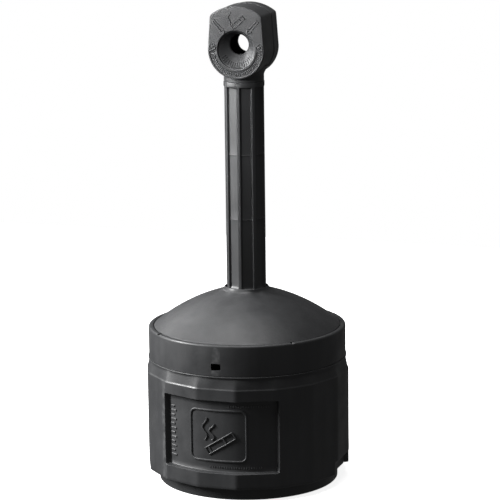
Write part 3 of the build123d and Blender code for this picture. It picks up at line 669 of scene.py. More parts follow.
@dataclass
class Base:
    """The faceted base with its label field, hand grips and spigot."""

    sides: int = 16
    corner_r: float = 209.0
    blunt_r: float = 208.5
    plinth_r: float = 184.0
    foot_z: float = 27.0
    top_z: float = 233.0
    ledge_z: float = 258.0
    ledge_r: float = 201.0
    seat_r: float = 203.6
    spigot_r: float = 197.0
    spigot_top: float = 296.0
    wall: float = 4.5
    floor_z: float = 8.0
    hollow_z: float = 3.0
    hollow_r: float = 154.0
    locator_r: float = 137.0
    locator_t: float = 4.0
    locator_h: float = 7.0
    field_r: float = 197.0
    field_half: float = 35.7
    field_low: float = 59.0
    field_high: float = 209.0
    field_corner: float = 5.0
    draft: float = 3.0
    grip_half: float = 50.0
    grip_depth: float = 11.0
    grip_low: float = 45.0
    grip_high: float = 55.0
    window: tuple[float, float, float] = (20.0, 14.0, 277.0)
    grip_levels: tuple[float, ...] = (34, 39, 42, 45, 48, 50.5, 53, 55.5)
    wall_levels: tuple[float, ...] = (72, 90, 110, 134, 158, 178, 196, 216, 224)
    inner_levels: tuple[float, ...] = (38, 44, 50, 55, 60, 80, 134, 190, 205, 209, 213, 218, 226)
    edge_steps: tuple[float, ...] = (-1.0, 0.0, 0.5, 1.0, 1.5, 2.0, 2.5, 3.4)
    grip_steps: tuple[float, ...] = (-1, 0, 0.6, 1.2, 1.8, 2.4, 3.5)
    corner_steps: tuple[float, ...] = (-1.3, -0.55, 0.55, 1.3)

    @property
    def flat_r(self) -> float:
        """Distance of a facet from the axis."""
        return self.corner_r * cos(pi / self.sides)

    def facet(self, angle: float, inset: float) -> float:
        """Radius of the blunted facet outline at an angle.

        Args:
            angle: direction about the neck's axis, in degrees from the front.
            inset: how far inside the outline.

        Returns:
            The radius.
        """
        step = 360 / self.sides
        off = (angle + step / 2) % step - step / 2
        return min(self.flat_r / cos(radians(off)), self.blunt_r) - inset

    def field_share(self, angle: float, height: float, grow: float) -> float:
        """1 on the label field, 0 off it, with a steep moulded edge between.

        Args:
            angle: direction about the neck's axis, in degrees from the front.
            height: height above the floor.
            grow: how far the field's edge moves out.

        Returns:
            The share.
        """
        turn = (angle + 180) % 360 - 180
        across = abs(radians(turn)) * self.flat_r - radians(self.field_half) * self.flat_r + self.field_corner
        middle = (self.field_low + self.field_high) / 2
        up = abs(height - middle) - (self.field_high - self.field_low) / 2 + self.field_corner
        outside = hypot(max(across, 0), max(up, 0)) + min(max(across, up), 0) - self.field_corner - grow
        return ease(-outside / self.draft)

    def grip_share(self, angle: float, height: float, grow: float) -> float:
        """1 in a hand grip, falling to 0 up its sloping roof and past its ends.

        Args:
            angle: direction about the neck's axis, in degrees from the front.
            height: height above the floor.
            grow: how far the grip's edge moves out.

        Returns:
            The share.
        """
        turn = abs((angle + 180) % 360 - 180)
        across = abs(radians(turn - 90)) * self.flat_r
        side = ease((self.grip_half + grow - across) / self.draft)
        roof = ease((self.grip_high + grow + 2 - height) / (self.grip_high - self.grip_low + 4))
        return side * roof

    def reach(self, row: WallRow, angle: float) -> float:
        """Radius of the skin at a row and an angle.

        Args:
            row: the level.
            angle: direction about the neck's axis, in degrees from the front.

        Returns:
            The radius.
        """
        if not row.faceted:
            return row.radius
        outline = self.facet(angle, row.inset)
        floor = self.field_r - (self.wall if row.inner else 0)
        grow = self.wall if row.inner else 0.0
        outline -= (outline - floor) * self.field_share(angle, row.height, grow)
        outline -= self.grip_depth * self.grip_share(angle, row.height, grow)
        return mix(row.radius, outline, row.faceted)

    def rows(self) -> list[WallRow]:
        """The levels of the skin, from the middle of the underside out, up and back in to the floor.

        Returns:
            The levels in order.
        """
        def plain(*corners: Corner) -> list[WallRow]:
            """Levels of plain circles along a rounded path."""
            return [WallRow(r, z) for r, z in rounded(corners, 3)]

        under = plain((0, self.hollow_z, 0), (self.hollow_r, self.hollow_z, 0.5), (self.hollow_r, 0, 1.0),
                      (self.plinth_r, 0, 1.5), (self.plinth_r, self.foot_z, 0))
        edge = [WallRow(0, self.foot_z, 1, 3.0), WallRow(0, self.foot_z + 0.3, 1, 1.4),
                WallRow(0, self.foot_z + 1.0, 1, 0.45), WallRow(0, self.foot_z + 2.2, 1, 0.0)]
        levels = [*self.grip_levels, *self.wall_levels, self.top_z - 3]
        for border, way in ((self.field_low, 1), (self.field_high, -1)):
            levels += [border + way * step for step in self.edge_steps]
        walls = [WallRow(0, z, 1, 0.0) for z in sorted(levels)]
        lip = [WallRow(0, self.top_z - 2.2, 1, 0.0), WallRow(0, self.top_z - 1.5, 1, 0.2),
               WallRow(0, self.top_z, 1, 1.5)]
        ledge = []
        for share in (0.05, 0.15, 0.4, 0.7, 0.85):
            ledge.append(WallRow(self.ledge_r, mix(self.top_z, self.ledge_z, share), 1 - share, 1.5))
        ledge += [WallRow(r, z) for r, z in rounded([
            (self.ledge_r + 0.8, self.ledge_z - 3.2, 0), (self.seat_r, self.ledge_z - 2.6, 0.4),
            (self.seat_r, self.ledge_z - 0.1, 1.0), (self.ledge_r, self.ledge_z - 0.05, 0)], 3)]
        inner_r = self.spigot_r - self.wall
        neck = plain((self.ledge_r, self.ledge_z, 0), (self.spigot_r, self.ledge_z + 0.1, 0.6),
                     (self.spigot_r, self.spigot_top, 1.2), (inner_r, self.spigot_top, 1.2),
                     (inner_r, self.ledge_z - self.wall, 0))
        inside = [WallRow(0, z, 1, self.wall, True) for z in reversed(self.inner_levels)]
        plinth_in = self.plinth_r - self.wall
        locator_out = self.locator_r + self.locator_t
        bottom = plain((plinth_in, self.foot_z + self.wall, 0), (plinth_in, self.floor_z, 2.0),
                       (locator_out, self.floor_z, 1.0), (locator_out, self.floor_z + self.locator_h, 1.0),
                       (self.locator_r, self.floor_z + self.locator_h, 1.0),
                       (self.locator_r, self.floor_z, 1.0),
                       (0, self.floor_z, 0))
        return under + edge + walls + lip + ledge + neck + inside + bottom

    def columns(self) -> list[float]:
        """Angles of the skin's columns, closer at the corners, the field's edges and the grips' ends.

        Returns:
            The angles in degrees, from 0 to 360.
        """
        step = 360 / self.sides
        angles = {round(k * step / 10, 3) for k in range(10 * self.sides + 1)}
        for k in range(self.sides):
            angles |= {round((k + 0.5) * step + off, 3) for off in self.corner_steps}
        across = degrees(1 / self.flat_r)
        for side in (self.field_half, 360 - self.field_half):
            way = -1 if side < 180 else 1
            angles |= {round(side + way * off * across, 3) for off in (*self.edge_steps, 5.0)}
        for middle in (90, 270):
            for way in (-1, 1):
                angles |= {round(middle + way * (self.grip_half - off) * across, 3)
                           for off in self.grip_steps}
        return sorted(angles)

    def build(self, palette: Palette) -> None:
        """Makes the moulding and dresses it.

        Args:
            palette: the materials.
        """
        rows = self.rows()
        angles = self.columns()
        mesh = bmesh.new()

        def place(column: int, row: int) -> Vector:
            """Gives the place of a column and a row of the grid."""
            angle = angles[column]
            return around(self.reach(rows[row], angle), angle, rows[row].height)

        grid_skin(mesh, len(angles) - 1, len(rows) - 1, place)
        piece = finish_mesh(mesh, "base_moulding", 48)
        carve(piece, window_tool(self.window, self.spigot_r), 48)
        palette.dress(piece, Finish.PLASTIC, "base", "base_shell")

    def field(self, across: float, up: float, proud: float) -> Vector:
        """A place on the label field, from the distance along it, the height and a height above it."""
        return around(self.field_r + proud, degrees(across / self.field_r), up)


def window_tool(window: tuple[float, float, float], radius: float) -> bmesh.types.BMesh:
    """A cutter for the front and rear locking windows.

    Args:
        window: width, height and middle height of a window.
        radius: distance of the windows from the axis.

    Returns:
        The cutter.
    """
    width, height, middle = window
    tool = bmesh.new()
    for side in (-1, 1):
        centre = Vector((0, side * radius, middle))
        half = Vector((width / 2, 15, height / 2))
        block(tool, centre - half, centre + half, 1.2)
    return tool


class BarRow(NamedTuple):
    """A row of short upright bars on the field: its start, its foot and the size of a bar."""

    count: int
    start: float
    foot: float
    tall: float
    width: float
    proud: float


@dataclass
class FieldSign:
    """The raised sign on the label field: a frame with a cigarette and its smoke, and plain bars."""

    middle_z: float = 135.0
    half_wide: float = 59.0
    half_tall: float = 52.0
    corner: float = 14.0
    line: float = 4.4
    proud: float = 2.2
    stick_length: float = 66.0
    stick_width: float = 15.0
    lean: float = 32.0
    stick_line: float = 2.8
    stick_corner: float = 1.5
    stick_bands: tuple[float, float] = (0.12, 0.66)
    lit_across: float = -22.0
    lit_down: float = 33.0
    smoke: tuple[tuple[float, float], ...] = ((-27.0, 46.0), (-12.0, 34.0))
    smoke_down: float = 10.0
    smoke_sway: float = 5.0
    smoke_line: float = 3.2
    side_bars: int = 12
    side_pitch: float = 9.2
    bar_pitch: float = 5.0

    def stick(self) -> list[Vector]:
        """The cigarette's corners, from its lit end round to the start, on the field.

        Returns:
            Four corners.
        """
        along = Vector((cos(radians(self.lean)), sin(radians(self.lean))))
        side = Vector((-along.y, along.x)) * (self.stick_width / 2)
        lit = Vector((self.lit_across, self.middle_z - self.lit_down))
        end = lit + along * self.stick_length
        return [lit - side, end - side, end + side, lit + side]

    def sign(self, base: Base) -> bmesh.types.BMesh:
        """The framed cigarette with two wisps of smoke.

        Args:
            base: the base that carries the sign.

        Returns:
            The mesh.
        """
        mesh = bmesh.new()
        wide, high = self.half_wide, self.half_tall
        frame_line = [(-wide, -high), (wide, -high), (wide, high), (-wide, high)]
        loop = round_loop([(x, z + self.middle_z) for x, z in frame_line], self.corner)
        stroke(mesh, loop, base.field, self.line, self.proud, True)
        corners = self.stick()
        stick = round_loop([tuple(c) for c in corners], self.stick_corner)
        stroke(mesh, stick, base.field, self.stick_line, self.proud, True)
        for share in self.stick_bands:
            low = corners[0].lerp(corners[1], share)
            high = corners[3].lerp(corners[2], share)
            stroke(mesh, [tuple(low), tuple(high)], base.field, self.stick_line, self.proud)
        foot = self.middle_z - self.smoke_down
        for start, rise in self.smoke:
            wave = [(start + self.smoke_sway * sin(2.6 * pi * t), foot + t * rise)
                    for t in (k / 28 for k in range(29))]
            stroke(mesh, wave, base.field, self.smoke_line, self.proud)
        return mesh

    def bars(self, base: Base) -> bmesh.types.BMesh:
        """Plain short bars up the left, and along the top and bottom of the field.

        Args:
            base: the base that carries the bars.

        Returns:
            The mesh.
        """
        mesh = bmesh.new()
        for k in range(self.side_bars):
            up = base.field_low + 23 + k * self.side_pitch
            stroke(mesh, [(-113, up), (-99 - 4 * (k % 2), up)], base.field, 4.4, 1.7)
        for row in (BarRow(17, 24, base.field_high - 15, 5, 2.2, 0.9),
                    BarRow(22, -16, base.field_low + 9, 4, 2.0, 0.8)):
            for k in range(row.count):
                across = row.start + k * self.bar_pitch
                bar = [(across, row.foot), (across, row.foot + row.tall)]
                stroke(mesh, bar, base.field, row.width, row.proud)
        return mesh

    def build(self, base: Base, palette: Palette) -> None:
        """Makes the sign and the bars."""
        palette.dress(finish_mesh(self.sign(base), "field_sign", 60), Finish.PLASTIC, "base")
        palette.dress(finish_mesh(self.bars(base), "field_bars", 60), Finish.PLASTIC, "base")


def round_loop(corners: Sequence[Point], radius: float) -> list[Point]:
    """The points of a closed outline whose corners are all rounded alike.

    Args:
        corners: the sharp outline.
        radius: radius of each corner.

    Returns:
        The points, without the first one again at the end.
    """
    first = Vector(corners[0])
    last = Vector(corners[-1])
    start = (first + last) / 2
    loop = [(start.x, start.y, 0), *[(x, y, radius) for x, y in corners], (start.x, start.y, 0)]
    return rounded(loop, 6)[:-1]


@dataclass
class Cover:
    """The domed cover: skirt, shoulder bead, groove and dome, with a fillet at the neck's foot."""

    skirt_r: float = 202.0
    skirt_low: float = 258.0
    bead_top: float = 321.5
    bead_round: float = 9.0
    wall: float = 4.0
    rim_r: float = 190.5
    rim_z: float = 321.0
    groove_w: float = 1.8
    groove_depth: float = 4.0
    middle: Point = (130.0, 361.0)
    crown: Point = (44.0, 394.0)
    foot_r: float = 42.2
    foot_top: float = 401.0
    foot_out: float = 57.0
    foot_bend: Point = (46.5, 393.5)
    lobes: int = 8
    lobe_rise: float = 2.6
    pad_z: float = 384.0
    drain_w: float = 7.0
    drain_deep: float = 2.5
    drain_angles: tuple[float, ...] = (45, 135, 225, 315)

    def dome_height(self, radius: float) -> float:
        """Height of the dome at a radius, on the arc through its rim, middle and crown.

        Args:
            radius: distance from the axis.

        Returns:
            The height.
        """
        (ax, ay), (bx, by), (cx, cy) = (self.rim_r, self.rim_z), self.middle, self.crown
        d = 2 * (ax * (by - cy) + bx * (cy - ay) + cx * (ay - by))
        a2, b2, c2 = ax * ax + ay * ay, bx * bx + by * by, cx * cx + cy * cy
        ux = (a2 * (by - cy) + b2 * (cy - ay) + c2 * (ay - by)) / d
        uy = (a2 * (cx - bx) + b2 * (ax - cx) + c2 * (bx - ax)) / d
        arc = hypot(ax - ux, ay - uy)
        return uy + sqrt(arc * arc - (radius - ux) ** 2)

    def path(self) -> list[Point]:
        """The closed half section.

        Returns:
            The (radius, height) points, with the first one again at the end.
        """
        out = self.foot_out
        foot = rounded([(self.foot_r, self.pad_z, 0), (self.foot_r, self.foot_top, 0.8),
                        (self.foot_r + 2.0, self.foot_top - 0.3, 1.6), (*self.foot_bend, 9.0),
                        (out, self.dome_height(out), 0)], 6)
        steps = 26
        rim = self.rim_r - 1
        dome = []
        for k in range(1, steps):
            radius = mix(out, rim, k / steps)
            dome.append((radius, self.dome_height(radius)))
        groove_low = self.rim_z - self.groove_depth
        groove_out = self.rim_r + self.groove_w
        in_r = self.skirt_r - self.wall
        edge = rounded([(rim, self.dome_height(rim), 0), (self.rim_r, self.rim_z, 0.7),
                        (self.rim_r + 0.1, groove_low, 0.3), (groove_out - 0.1, groove_low, 0.3),
                        (groove_out, self.bead_top, 1.4), (self.skirt_r, self.bead_top, self.bead_round + 3),
                        (self.skirt_r, self.skirt_low, 1.4), (in_r, self.skirt_low, 0.8),
                        (in_r, self.rim_z - 13, 2.0), (self.rim_r - 5, self.rim_z - 5.5, 2.0),
                        (self.middle[0], self.middle[1] - 5.2, 60), (60, self.pad_z, 0),
                        (self.foot_r, self.pad_z, 0)], 6)
        return foot[:-1] + dome + edge

    def build(self, palette: Palette, base: Base) -> None:
        """Makes the cover with its windows and drains.

        Args:
            palette: the materials.
            base: the base, whose windows go on through the skirt.
        """
        mesh = bmesh.new()

        def lobed(radius: float, height: float, angle: float) -> Point:
            """Lifts the fillet at the neck's foot into lobes, one under each flute."""
            near = ease((self.foot_out - radius) / 12) if height > self.pad_z + 3 else 0.0
            lobe = 0.5 - 0.5 * cos(radians(self.lobes * angle))
            return radius, height + self.lobe_rise * lobe * near * ease((radius - self.foot_r - 1) / 2.5)

        turned(mesh, self.path(), even_angles(224), lobed)
        piece = finish_mesh(mesh, "cover_moulding", 46)
        carve(piece, window_tool(base.window, self.skirt_r), 46)
        tool = bmesh.new()
        for angle in self.drain_angles:
            part = bmesh.new()
            spot = Vector((0, -self.skirt_r, self.bead_top))
            half = Vector((self.drain_w / 2, self.skirt_r - self.rim_r - 0.8, self.drain_deep))
            block(part, spot - half, spot + half, 1.0)
            turn = Matrix.Rotation(radians(angle), 3, "Z")
            bmesh.ops.rotate(part, verts=part.verts[:], cent=(0, 0, 0), matrix=turn)
            data = bpy.data.meshes.new("drain")
            part.to_mesh(data)
            part.free()
            tool.from_mesh(data)
            bpy.data.meshes.remove(data)
        carve(piece, tool, 46)
        palette.dress(piece, Finish.PLASTIC, "cover", "cover_dome")


@dataclass
class Neck:
    """The fluted neck with its flange, cross beads and head spigot."""

    rib_r: float = 41.5
    flutes: int = 8
    floor_r: float = 35.6
    floor_half: float = 10.2
    mouth_half: float = 12.2
    low_z: float = 384.0
    flute_low: float = 399.0
    flute_high: float = 812.0
    top_z: float = 822.0
    spigot_r: float = 36.4
    spigot_top: float = 848.0
    bore_r: float = 32.0
    tail_z: float = 366.0
    flange_r: float = 58.0
    flange_z: float = 380.0
    beads: tuple[float, float] = (543.0, 675.0)
    bead_h: float = 1.5
    bead_proud: float = 1.1

    def section(self) -> list[Point]:
        """The fluted outline, as points round the axis from the front rib to itself.

        Returns:
            The points, with the first one again at the end.
        """
        step = 2 * pi / self.flutes
        half = asin(self.mouth_half / self.rib_r)
        lip = step / 2 - half
        rib = (self.rib_r * sin(lip), self.rib_r * cos(lip))
        floor_angle = step / 2 - atan2(self.floor_half, self.floor_r)
        deep = hypot(self.floor_r, self.floor_half)
        corner = (deep * sin(floor_angle), deep * cos(floor_angle))
        middle = (self.floor_r * sin(step / 2), self.floor_r * cos(step / 2))
        crest = (0.0, self.rib_r)
        half_section = rounded([(*crest, 0), (*rib, 1.7), (*corner, 2.2), (*middle, 0)], 6)
        points = []
        for k in range(self.flutes):
            for flip in (1, -1):
                run = half_section if flip > 0 else [(-x, y) for x, y in reversed(half_section)]
                turn = step * (k if flip > 0 else k + 1)
                run = [(x * cos(turn) + y * sin(turn), y * cos(turn) - x * sin(turn)) for x, y in run]
                points += run[:-1]
        points.append(points[0])
        return points

    def build(self, palette: Palette) -> None:
        """Makes the tube.

        Args:
            palette: the materials.
        """
        outline = self.section()
        levels: list[tuple[float, float, float]] = []

        def circle(*corners: Corner) -> None:
            """Adds levels of plain circles along a rounded path."""
            levels.extend((r, z, 0.0) for r, z in rounded(corners, 3))

        circle((self.bore_r, self.tail_z, 0),
               (self.floor_r, self.tail_z, 1), (self.floor_r, self.flange_z, 0.5),
               (self.flange_r, self.flange_z, 1), (self.flange_r, self.low_z, 1), (self.rib_r, self.low_z, 0))
        levels += [(self.rib_r, self.flute_low - 3, 0.0), (self.rib_r, self.flute_low - 1, 0.15),
                   (self.rib_r, self.flute_low + 1, 0.6), (self.rib_r, self.flute_low + 3, 0.9),
                   (self.rib_r, self.flute_low + 6, 1.0)]
        heights = [self.flute_low + 12 + k * 26 for k in range(16)]
        for z in self.beads:
            heights += [z + side * off for side in (-1, 1) for off in (0.35, 0.65, 0.85, 2.0)]
        levels += [(self.rib_r, z, 1.0) for z in sorted(heights) if z < self.flute_high - 4]
        top = self.flute_high
        levels += [(self.rib_r, top - 3, 1.0), (self.rib_r, top - 1.0, 0.97), (self.rib_r, top - 0.4, 0.8),
                   (self.rib_r, top, 0.12), (self.rib_r, top + 0.5, 0.02), (self.rib_r, top + 1.5, 0.0)]
        circle((self.rib_r, top + 3, 0), (self.rib_r, self.top_z, 1.0), (self.spigot_r, self.top_z, 0.4),
               (self.spigot_r, self.spigot_top, 1.0), (self.bore_r, self.spigot_top, 1.0),
               (self.bore_r, self.tail_z, 0))
        mesh = bmesh.new()

        def place(column: int, row: int) -> Vector:
            """Gives the place of a column and a row of the grid."""
            radius, height, fluted = levels[row]
            x, y = outline[column]
            own = hypot(x, y)
            reach = mix(radius, own, fluted)
            sunk = ease((self.rib_r - own - 2.0) / 2.0) * fluted
            for bead in self.beads:
                reach += self.bead_proud * sunk * ease((self.bead_h / 2 - abs(height - bead)) / 0.4 + 0.5)
            return Vector((x, -y, 0)) * (reach / own) + Vector((0, 0, height))

        grid_skin(mesh, len(outline) - 1, len(levels) - 1, place)
        palette.dress(finish_mesh(mesh, "neck_moulding", 50), Finish.PLASTIC, "cover", "neck_tube")


class Side(Enum):
    """The two shells of the head."""

    FRONT = -1
    REAR = 1


@dataclass
class Head:
    """One shell of the head, with its dish, its hole, its ribs and its raised marks."""

    side: Side
    centre_z: float = 889.5
    depth: float = 100.0
    seam_y: float = 14.0
    step: float = 1.0
    draft: float = 1.5
    low_r: float = 60.5
    top_r: float = 88.5
    corner_x: float = 55.5
    blend: int = 70
    wall: float = 4.0
    edge: float = 2.2
    mouth_r: float = 38.5
    lip: float = 4.0
    shelf: float = 1.6
    dish_depth: float = 22.0
    hole_r: float = 20.0
    hole_up: float = 9.0
    band_in: float = 43.8
    band_out: float = 55.3
    band_depth: float = 1.6
    band_end: float = 0.075
    band_stop: float = 3.5
    mark_w: float = 1.7
    mark_proud: float = 1.2
    arrow_tail: Point = (46, 58)
    arrow_tip: Point = (24, 33)
    shaft_half: float = 2.2
    barb_half: float = 5.2
    barb_long: float = 8
    boss: Point = (49, 5.5)
    boss_r: float = 3.0
    boss_ring: float = 6.2
    butt: Point = (-7, 45)
    stick_lean: float = 40
    stick_long: float = 31
    stick_half: float = 4.2
    filter_at: float = 22
    filter_half: float = 3.9
    smoke_foot: Point = (-12.5, 47)
    smoke_rise: float = 29
    smoke_sway: float = 2.6
    rib_count: int = 15
    rib_spread: float = 124.0
    rib_out: float = 36.2
    rib_in: float = 27.0
    tick_count: int = 37
    collar_r: float = 40.6
    collar_z: float = 822.0
    socket_r: float = 36.7

    @property
    def to_seam(self) -> float:
        """Depth of the shell from its face to the seam."""
        return self.depth / 2 - self.side.value * self.seam_y

    def at(self, across: float, up: float, deep: float) -> Vector:
        """A place on the shell, seen from its own face: across to the right, up and deep into it."""
        way = self.side.value
        return Vector((-way * across, way * (self.depth / 2 - deep), self.centre_z + up))

    def face(self, across: float, up: float, proud: float) -> Vector:
        """A place on the face."""
        return self.at(across, up, -proud)

    def band(self, across: float, up: float, proud: float) -> Vector:
        """A place on the floor of the sunk band."""
        return self.at(across, up, self.band_depth - proud)

    def outline(self, turn: float, inset: float) -> float:
        """Reach of the outline from the middle of the face at an angle, with round upper corners.

        Args:
            turn: direction on the face, in radians from its right.
            inset: how far inside the outline.

        Returns:
            The reach.
        """
        low = self.low_r - inset
        if sin(turn) <= 0:
            return low
        corner_up = sqrt(self.top_r ** 2 - self.corner_x ** 2)
        lean = (self.low_r - self.corner_x) / corner_up
        side = low / (abs(cos(turn)) + lean * sin(turn))
        top = self.top_r - inset
        return (side ** -self.blend + top ** -self.blend) ** (-1 / self.blend)

    def loops(self) -> list[tuple[str, float, float, float]]:
        """The rows of the skin, each a circle or an outline: kind, size, rise and depth.

        Returns:
            The rows in order, from the seam over the face and back to the seam.
        """
        seam_inset = self.step if self.side is Side.FRONT else 0.0
        seam = self.to_seam
        rows = [("outline", seam_inset + 0.8, 0, seam), ("outline", seam_inset + 0.25, 0, seam - 0.35),
                ("outline", seam_inset, 0, seam - 1.2)]
        for share in (0.75, 0.5, 0.25, 0.12):
            rows.append(("outline", mix(self.draft, seam_inset, share), 0, seam * share + 1.5))
        rows += [("outline", self.draft + inset, 0, deep) for inset, deep in
                 ((0, self.edge + 0.6), (0.1, 1.6), (0.4, 0.85), (0.9, 0.35), (1.5, 0.08), (2.2, 0))]
        rows += [("ring", self.band_out + 0.55, 0, 0), ("band", self.band_out + 0.15, 0, 0.15),
                 ("band", self.band_out - 0.25, 0, self.band_depth - 0.1),
                 ("band", self.band_out - 0.8, 0, self.band_depth),
                 ("band", self.band_in + 0.8, 0, self.band_depth),
                 ("band", self.band_in + 0.25, 0, self.band_depth - 0.1),
                 ("band", self.band_in - 0.15, 0, 0.15), ("ring", self.band_in - 0.6, 0, 0)]
        shelf_r = self.mouth_r - self.shelf
        rows += [("ring", self.mouth_r + 1.6, 0, 0), ("ring", self.mouth_r + 0.8, 0, 0.1),
                 ("ring", self.mouth_r + 0.25, 0, 0.45), ("ring", self.mouth_r, 0, 1.1),
                 ("ring", self.mouth_r, 0, self.lip - 0.8), ("ring", self.mouth_r - 0.3, 0, self.lip - 0.2),
                 ("ring", self.mouth_r - 0.8, 0, self.lip), ("ring", shelf_r + 0.3, 0, self.lip)]
        for share in (0.02, 0.25, 0.5, 0.75, 0.93):
            rows.append(("ring", mix(shelf_r, self.hole_r, share), self.hole_up * share,
                         mix(self.lip, self.dish_depth, share)))
        back = self.dish_depth + self.wall
        rows += [("ring", self.hole_r + 0.35, self.hole_up, self.dish_depth - 0.3),
                 ("ring", self.hole_r + 0.05, self.hole_up, self.dish_depth + 0.2),
                 ("ring", self.hole_r, self.hole_up, self.dish_depth + 1.0),
                 ("ring", self.hole_r, self.hole_up, back - 0.8),
                 ("ring", self.hole_r + 0.8, self.hole_up, back),
                 ("ring", self.hole_r + self.wall, self.hole_up, back),
                 ("ring", self.mouth_r + self.wall, 0, self.lip + self.wall),
                 ("outline", self.draft + self.wall + 4, 0, self.wall + 1),
                 ("outline", self.draft + self.wall, 0, self.wall + 5),
                 ("outline", seam_inset + self.wall, 0, seam), ("outline", seam_inset + 0.8, 0, seam)]
        return rows

    def band_share(self, turn: float) -> float:
        """1 along the sunk band, 0 above its ends."""
        return ease(0.5 - (sin(turn) * self.band_in + self.band_stop) / 1.2)

    def skin(self) -> bmesh.types.BMesh:
        """The shell with its dish and hole.

        Returns:
            The mesh.
        """
        rows = self.loops()
        turns = {2 * pi * k / 240 for k in range(241)}
        for k in range(-4, 5):
            turns |= {pi + self.band_end + k * 0.0035, 2 * pi - self.band_end + k * 0.0035}
        turns = sorted(turns)
        mesh = bmesh.new()

        def place(column: int, row: int) -> Vector:
            """Gives the place of a column and a row of the grid."""
            kind, size, rise, deep = rows[row]
            turn = turns[column]
            if kind == "outline":
                reach = self.outline(turn, size)
            else:
                reach = size
            if kind == "band":
                deep *= self.band_share(turn)
            return self.at(reach * cos(turn), rise + reach * sin(turn), deep)

        grid_skin(mesh, len(turns) - 1, len(rows) - 1, place)
        return mesh

    def collar(self, mesh: bmesh.types.BMesh) -> None:
        """Adds this shell's part of the collar below the head.

        Args:
            mesh: the mesh that takes it.
        """
        way = self.side.value
        reach = 180 - degrees(atan2(sqrt(self.collar_r ** 2 - self.seam_y ** 2), -way * self.seam_y))
        middle = 0 if way < 0 else 180
        columns = 64
        path = rounded([(self.socket_r, self.collar_z, 0), (self.collar_r, self.collar_z, 1.2),
                        (self.collar_r, self.collar_z + 15, 10), (self.collar_r + 9, self.collar_z + 32, 0),
                        (self.socket_r, self.collar_z + 32, 0), (self.socket_r, self.collar_z, 0)], 5)

        def place(column: int, row: int) -> Vector:
            """Gives the place of a column and a row of the grid."""
            radius, height = path[row]
            return around(radius, middle + mix(-reach, reach, column / columns), height)

        grid_skin(mesh, columns, len(path) - 1, place)
        bmesh.ops.holes_fill(mesh, edges=[e for e in mesh.edges if e.is_boundary], sides=60)

    def dish_point(self, turn: float, radius: float, proud: float) -> Vector:
        """A point over the dish's slope; turn is measured from straight down.

        Args:
            turn: direction, in radians.
            radius: distance from the dish's middle.
            proud: height above the slope.

        Returns:
            The place.
        """
        shelf_r = self.mouth_r - self.shelf
        across = self.hole_up * sin(turn)
        hole_at = sqrt(self.hole_r ** 2 - across ** 2) - self.hole_up * cos(turn)
        share = (shelf_r - radius) / (shelf_r - hole_at)
        deep = mix(self.lip, self.dish_depth, share)
        return self.at(radius * sin(turn), -radius * cos(turn), deep - proud)

    def snuffing_ribs(self) -> bmesh.types.BMesh:
        """Short radial ribs on the lower slope of the dish.

        Returns:
            The mesh.
        """
        mesh = bmesh.new()
        for k in range(self.rib_count):
            turn = radians((k / (self.rib_count - 1) - 0.5) * self.rib_spread)

            def slope(along: float, across: float, proud: float, turn: float = turn) -> Vector:
                """A place on the dish's slope, along and across one rib."""
                share = (self.rib_out - along) / (self.rib_out - self.rib_in)
                return self.dish_point(turn + across / along, along, proud * mix(1.5, 0.4, share))

            stroke(mesh, [(self.rib_out, 0), (33.5, 0), (30.5, 0), (self.rib_in, 0)], slope, 1.7, 1.0)
        return mesh

    def ticks(self) -> bmesh.types.BMesh:
        """Plain radial ticks along the sunk band.

        Returns:
            The mesh.
        """
        mesh = bmesh.new()
        for k in range(self.tick_count):
            turn = pi + 0.17 + (pi - 0.34) * k / (self.tick_count - 1)
            low, high = (46.3, 52.8) if k % 3 else (45.6, 53.5)
            line = [(low * cos(turn), low * sin(turn)), (high * cos(turn), high * sin(turn))]
            stroke(mesh, line, self.band, 1.9, 1.3)
        return mesh

    def marks(self) -> bmesh.types.BMesh:
        """Raised arrows that point to the hole, a cigarette outline with its smoke, and two round bosses.

        Returns:
            The mesh.
        """
        mesh = bmesh.new()
        for way in (-1, 1):
            tail = Vector((way * self.arrow_tail[0], self.arrow_tail[1]))
            tip = Vector((way * self.arrow_tip[0], self.arrow_tip[1]))
            along = (tip - tail).normalized()
            side = Vector((-along.y, along.x))
            neck = tip - along * self.barb_long
            shaft, barb = side * self.shaft_half, side * self.barb_half
            arrow = [tail + shaft, neck + shaft, neck + barb, tip, neck - barb, neck - shaft, tail - shaft]
            stroke(mesh, [(p.x, p.y) for p in arrow], self.face, self.mark_w, self.mark_proud, True)
            x, y = way * self.boss[0], self.boss[1]
            raised_disc(mesh, (x, y), self.face, self.boss_r, self.mark_proud)
            ring = [(x + self.boss_ring * cos(k * pi / 12), y + self.boss_ring * sin(k * pi / 12))
                    for k in range(24)]
            stroke(mesh, ring, self.face, self.mark_w, self.mark_proud, True)
        lean = radians(self.stick_lean)
        along = Vector((cos(lean), sin(lean)))
        side = Vector((-along.y, along.x))
        butt = Vector(self.butt)
        end = butt + along * self.stick_long
        half = side * self.stick_half
        stick = [butt + half, butt - half, end - half, end + half]
        stroke(mesh, [(p.x, p.y) for p in stick], self.face, self.mark_w, self.mark_proud, True)
        joint = butt + along * self.filter_at
        half = side * self.filter_half
        stroke(mesh, [tuple(joint - half), tuple(joint + half)], self.face, self.mark_w, self.mark_proud)
        smoke = [(self.smoke_foot[0] + self.smoke_sway * sin(t * 2 * pi * 1.25),
                  self.smoke_foot[1] + t * self.smoke_rise) for t in (k / 24 for k in range(25))]
        stroke(mesh, smoke, self.face, self.mark_w, self.mark_proud)
        return mesh

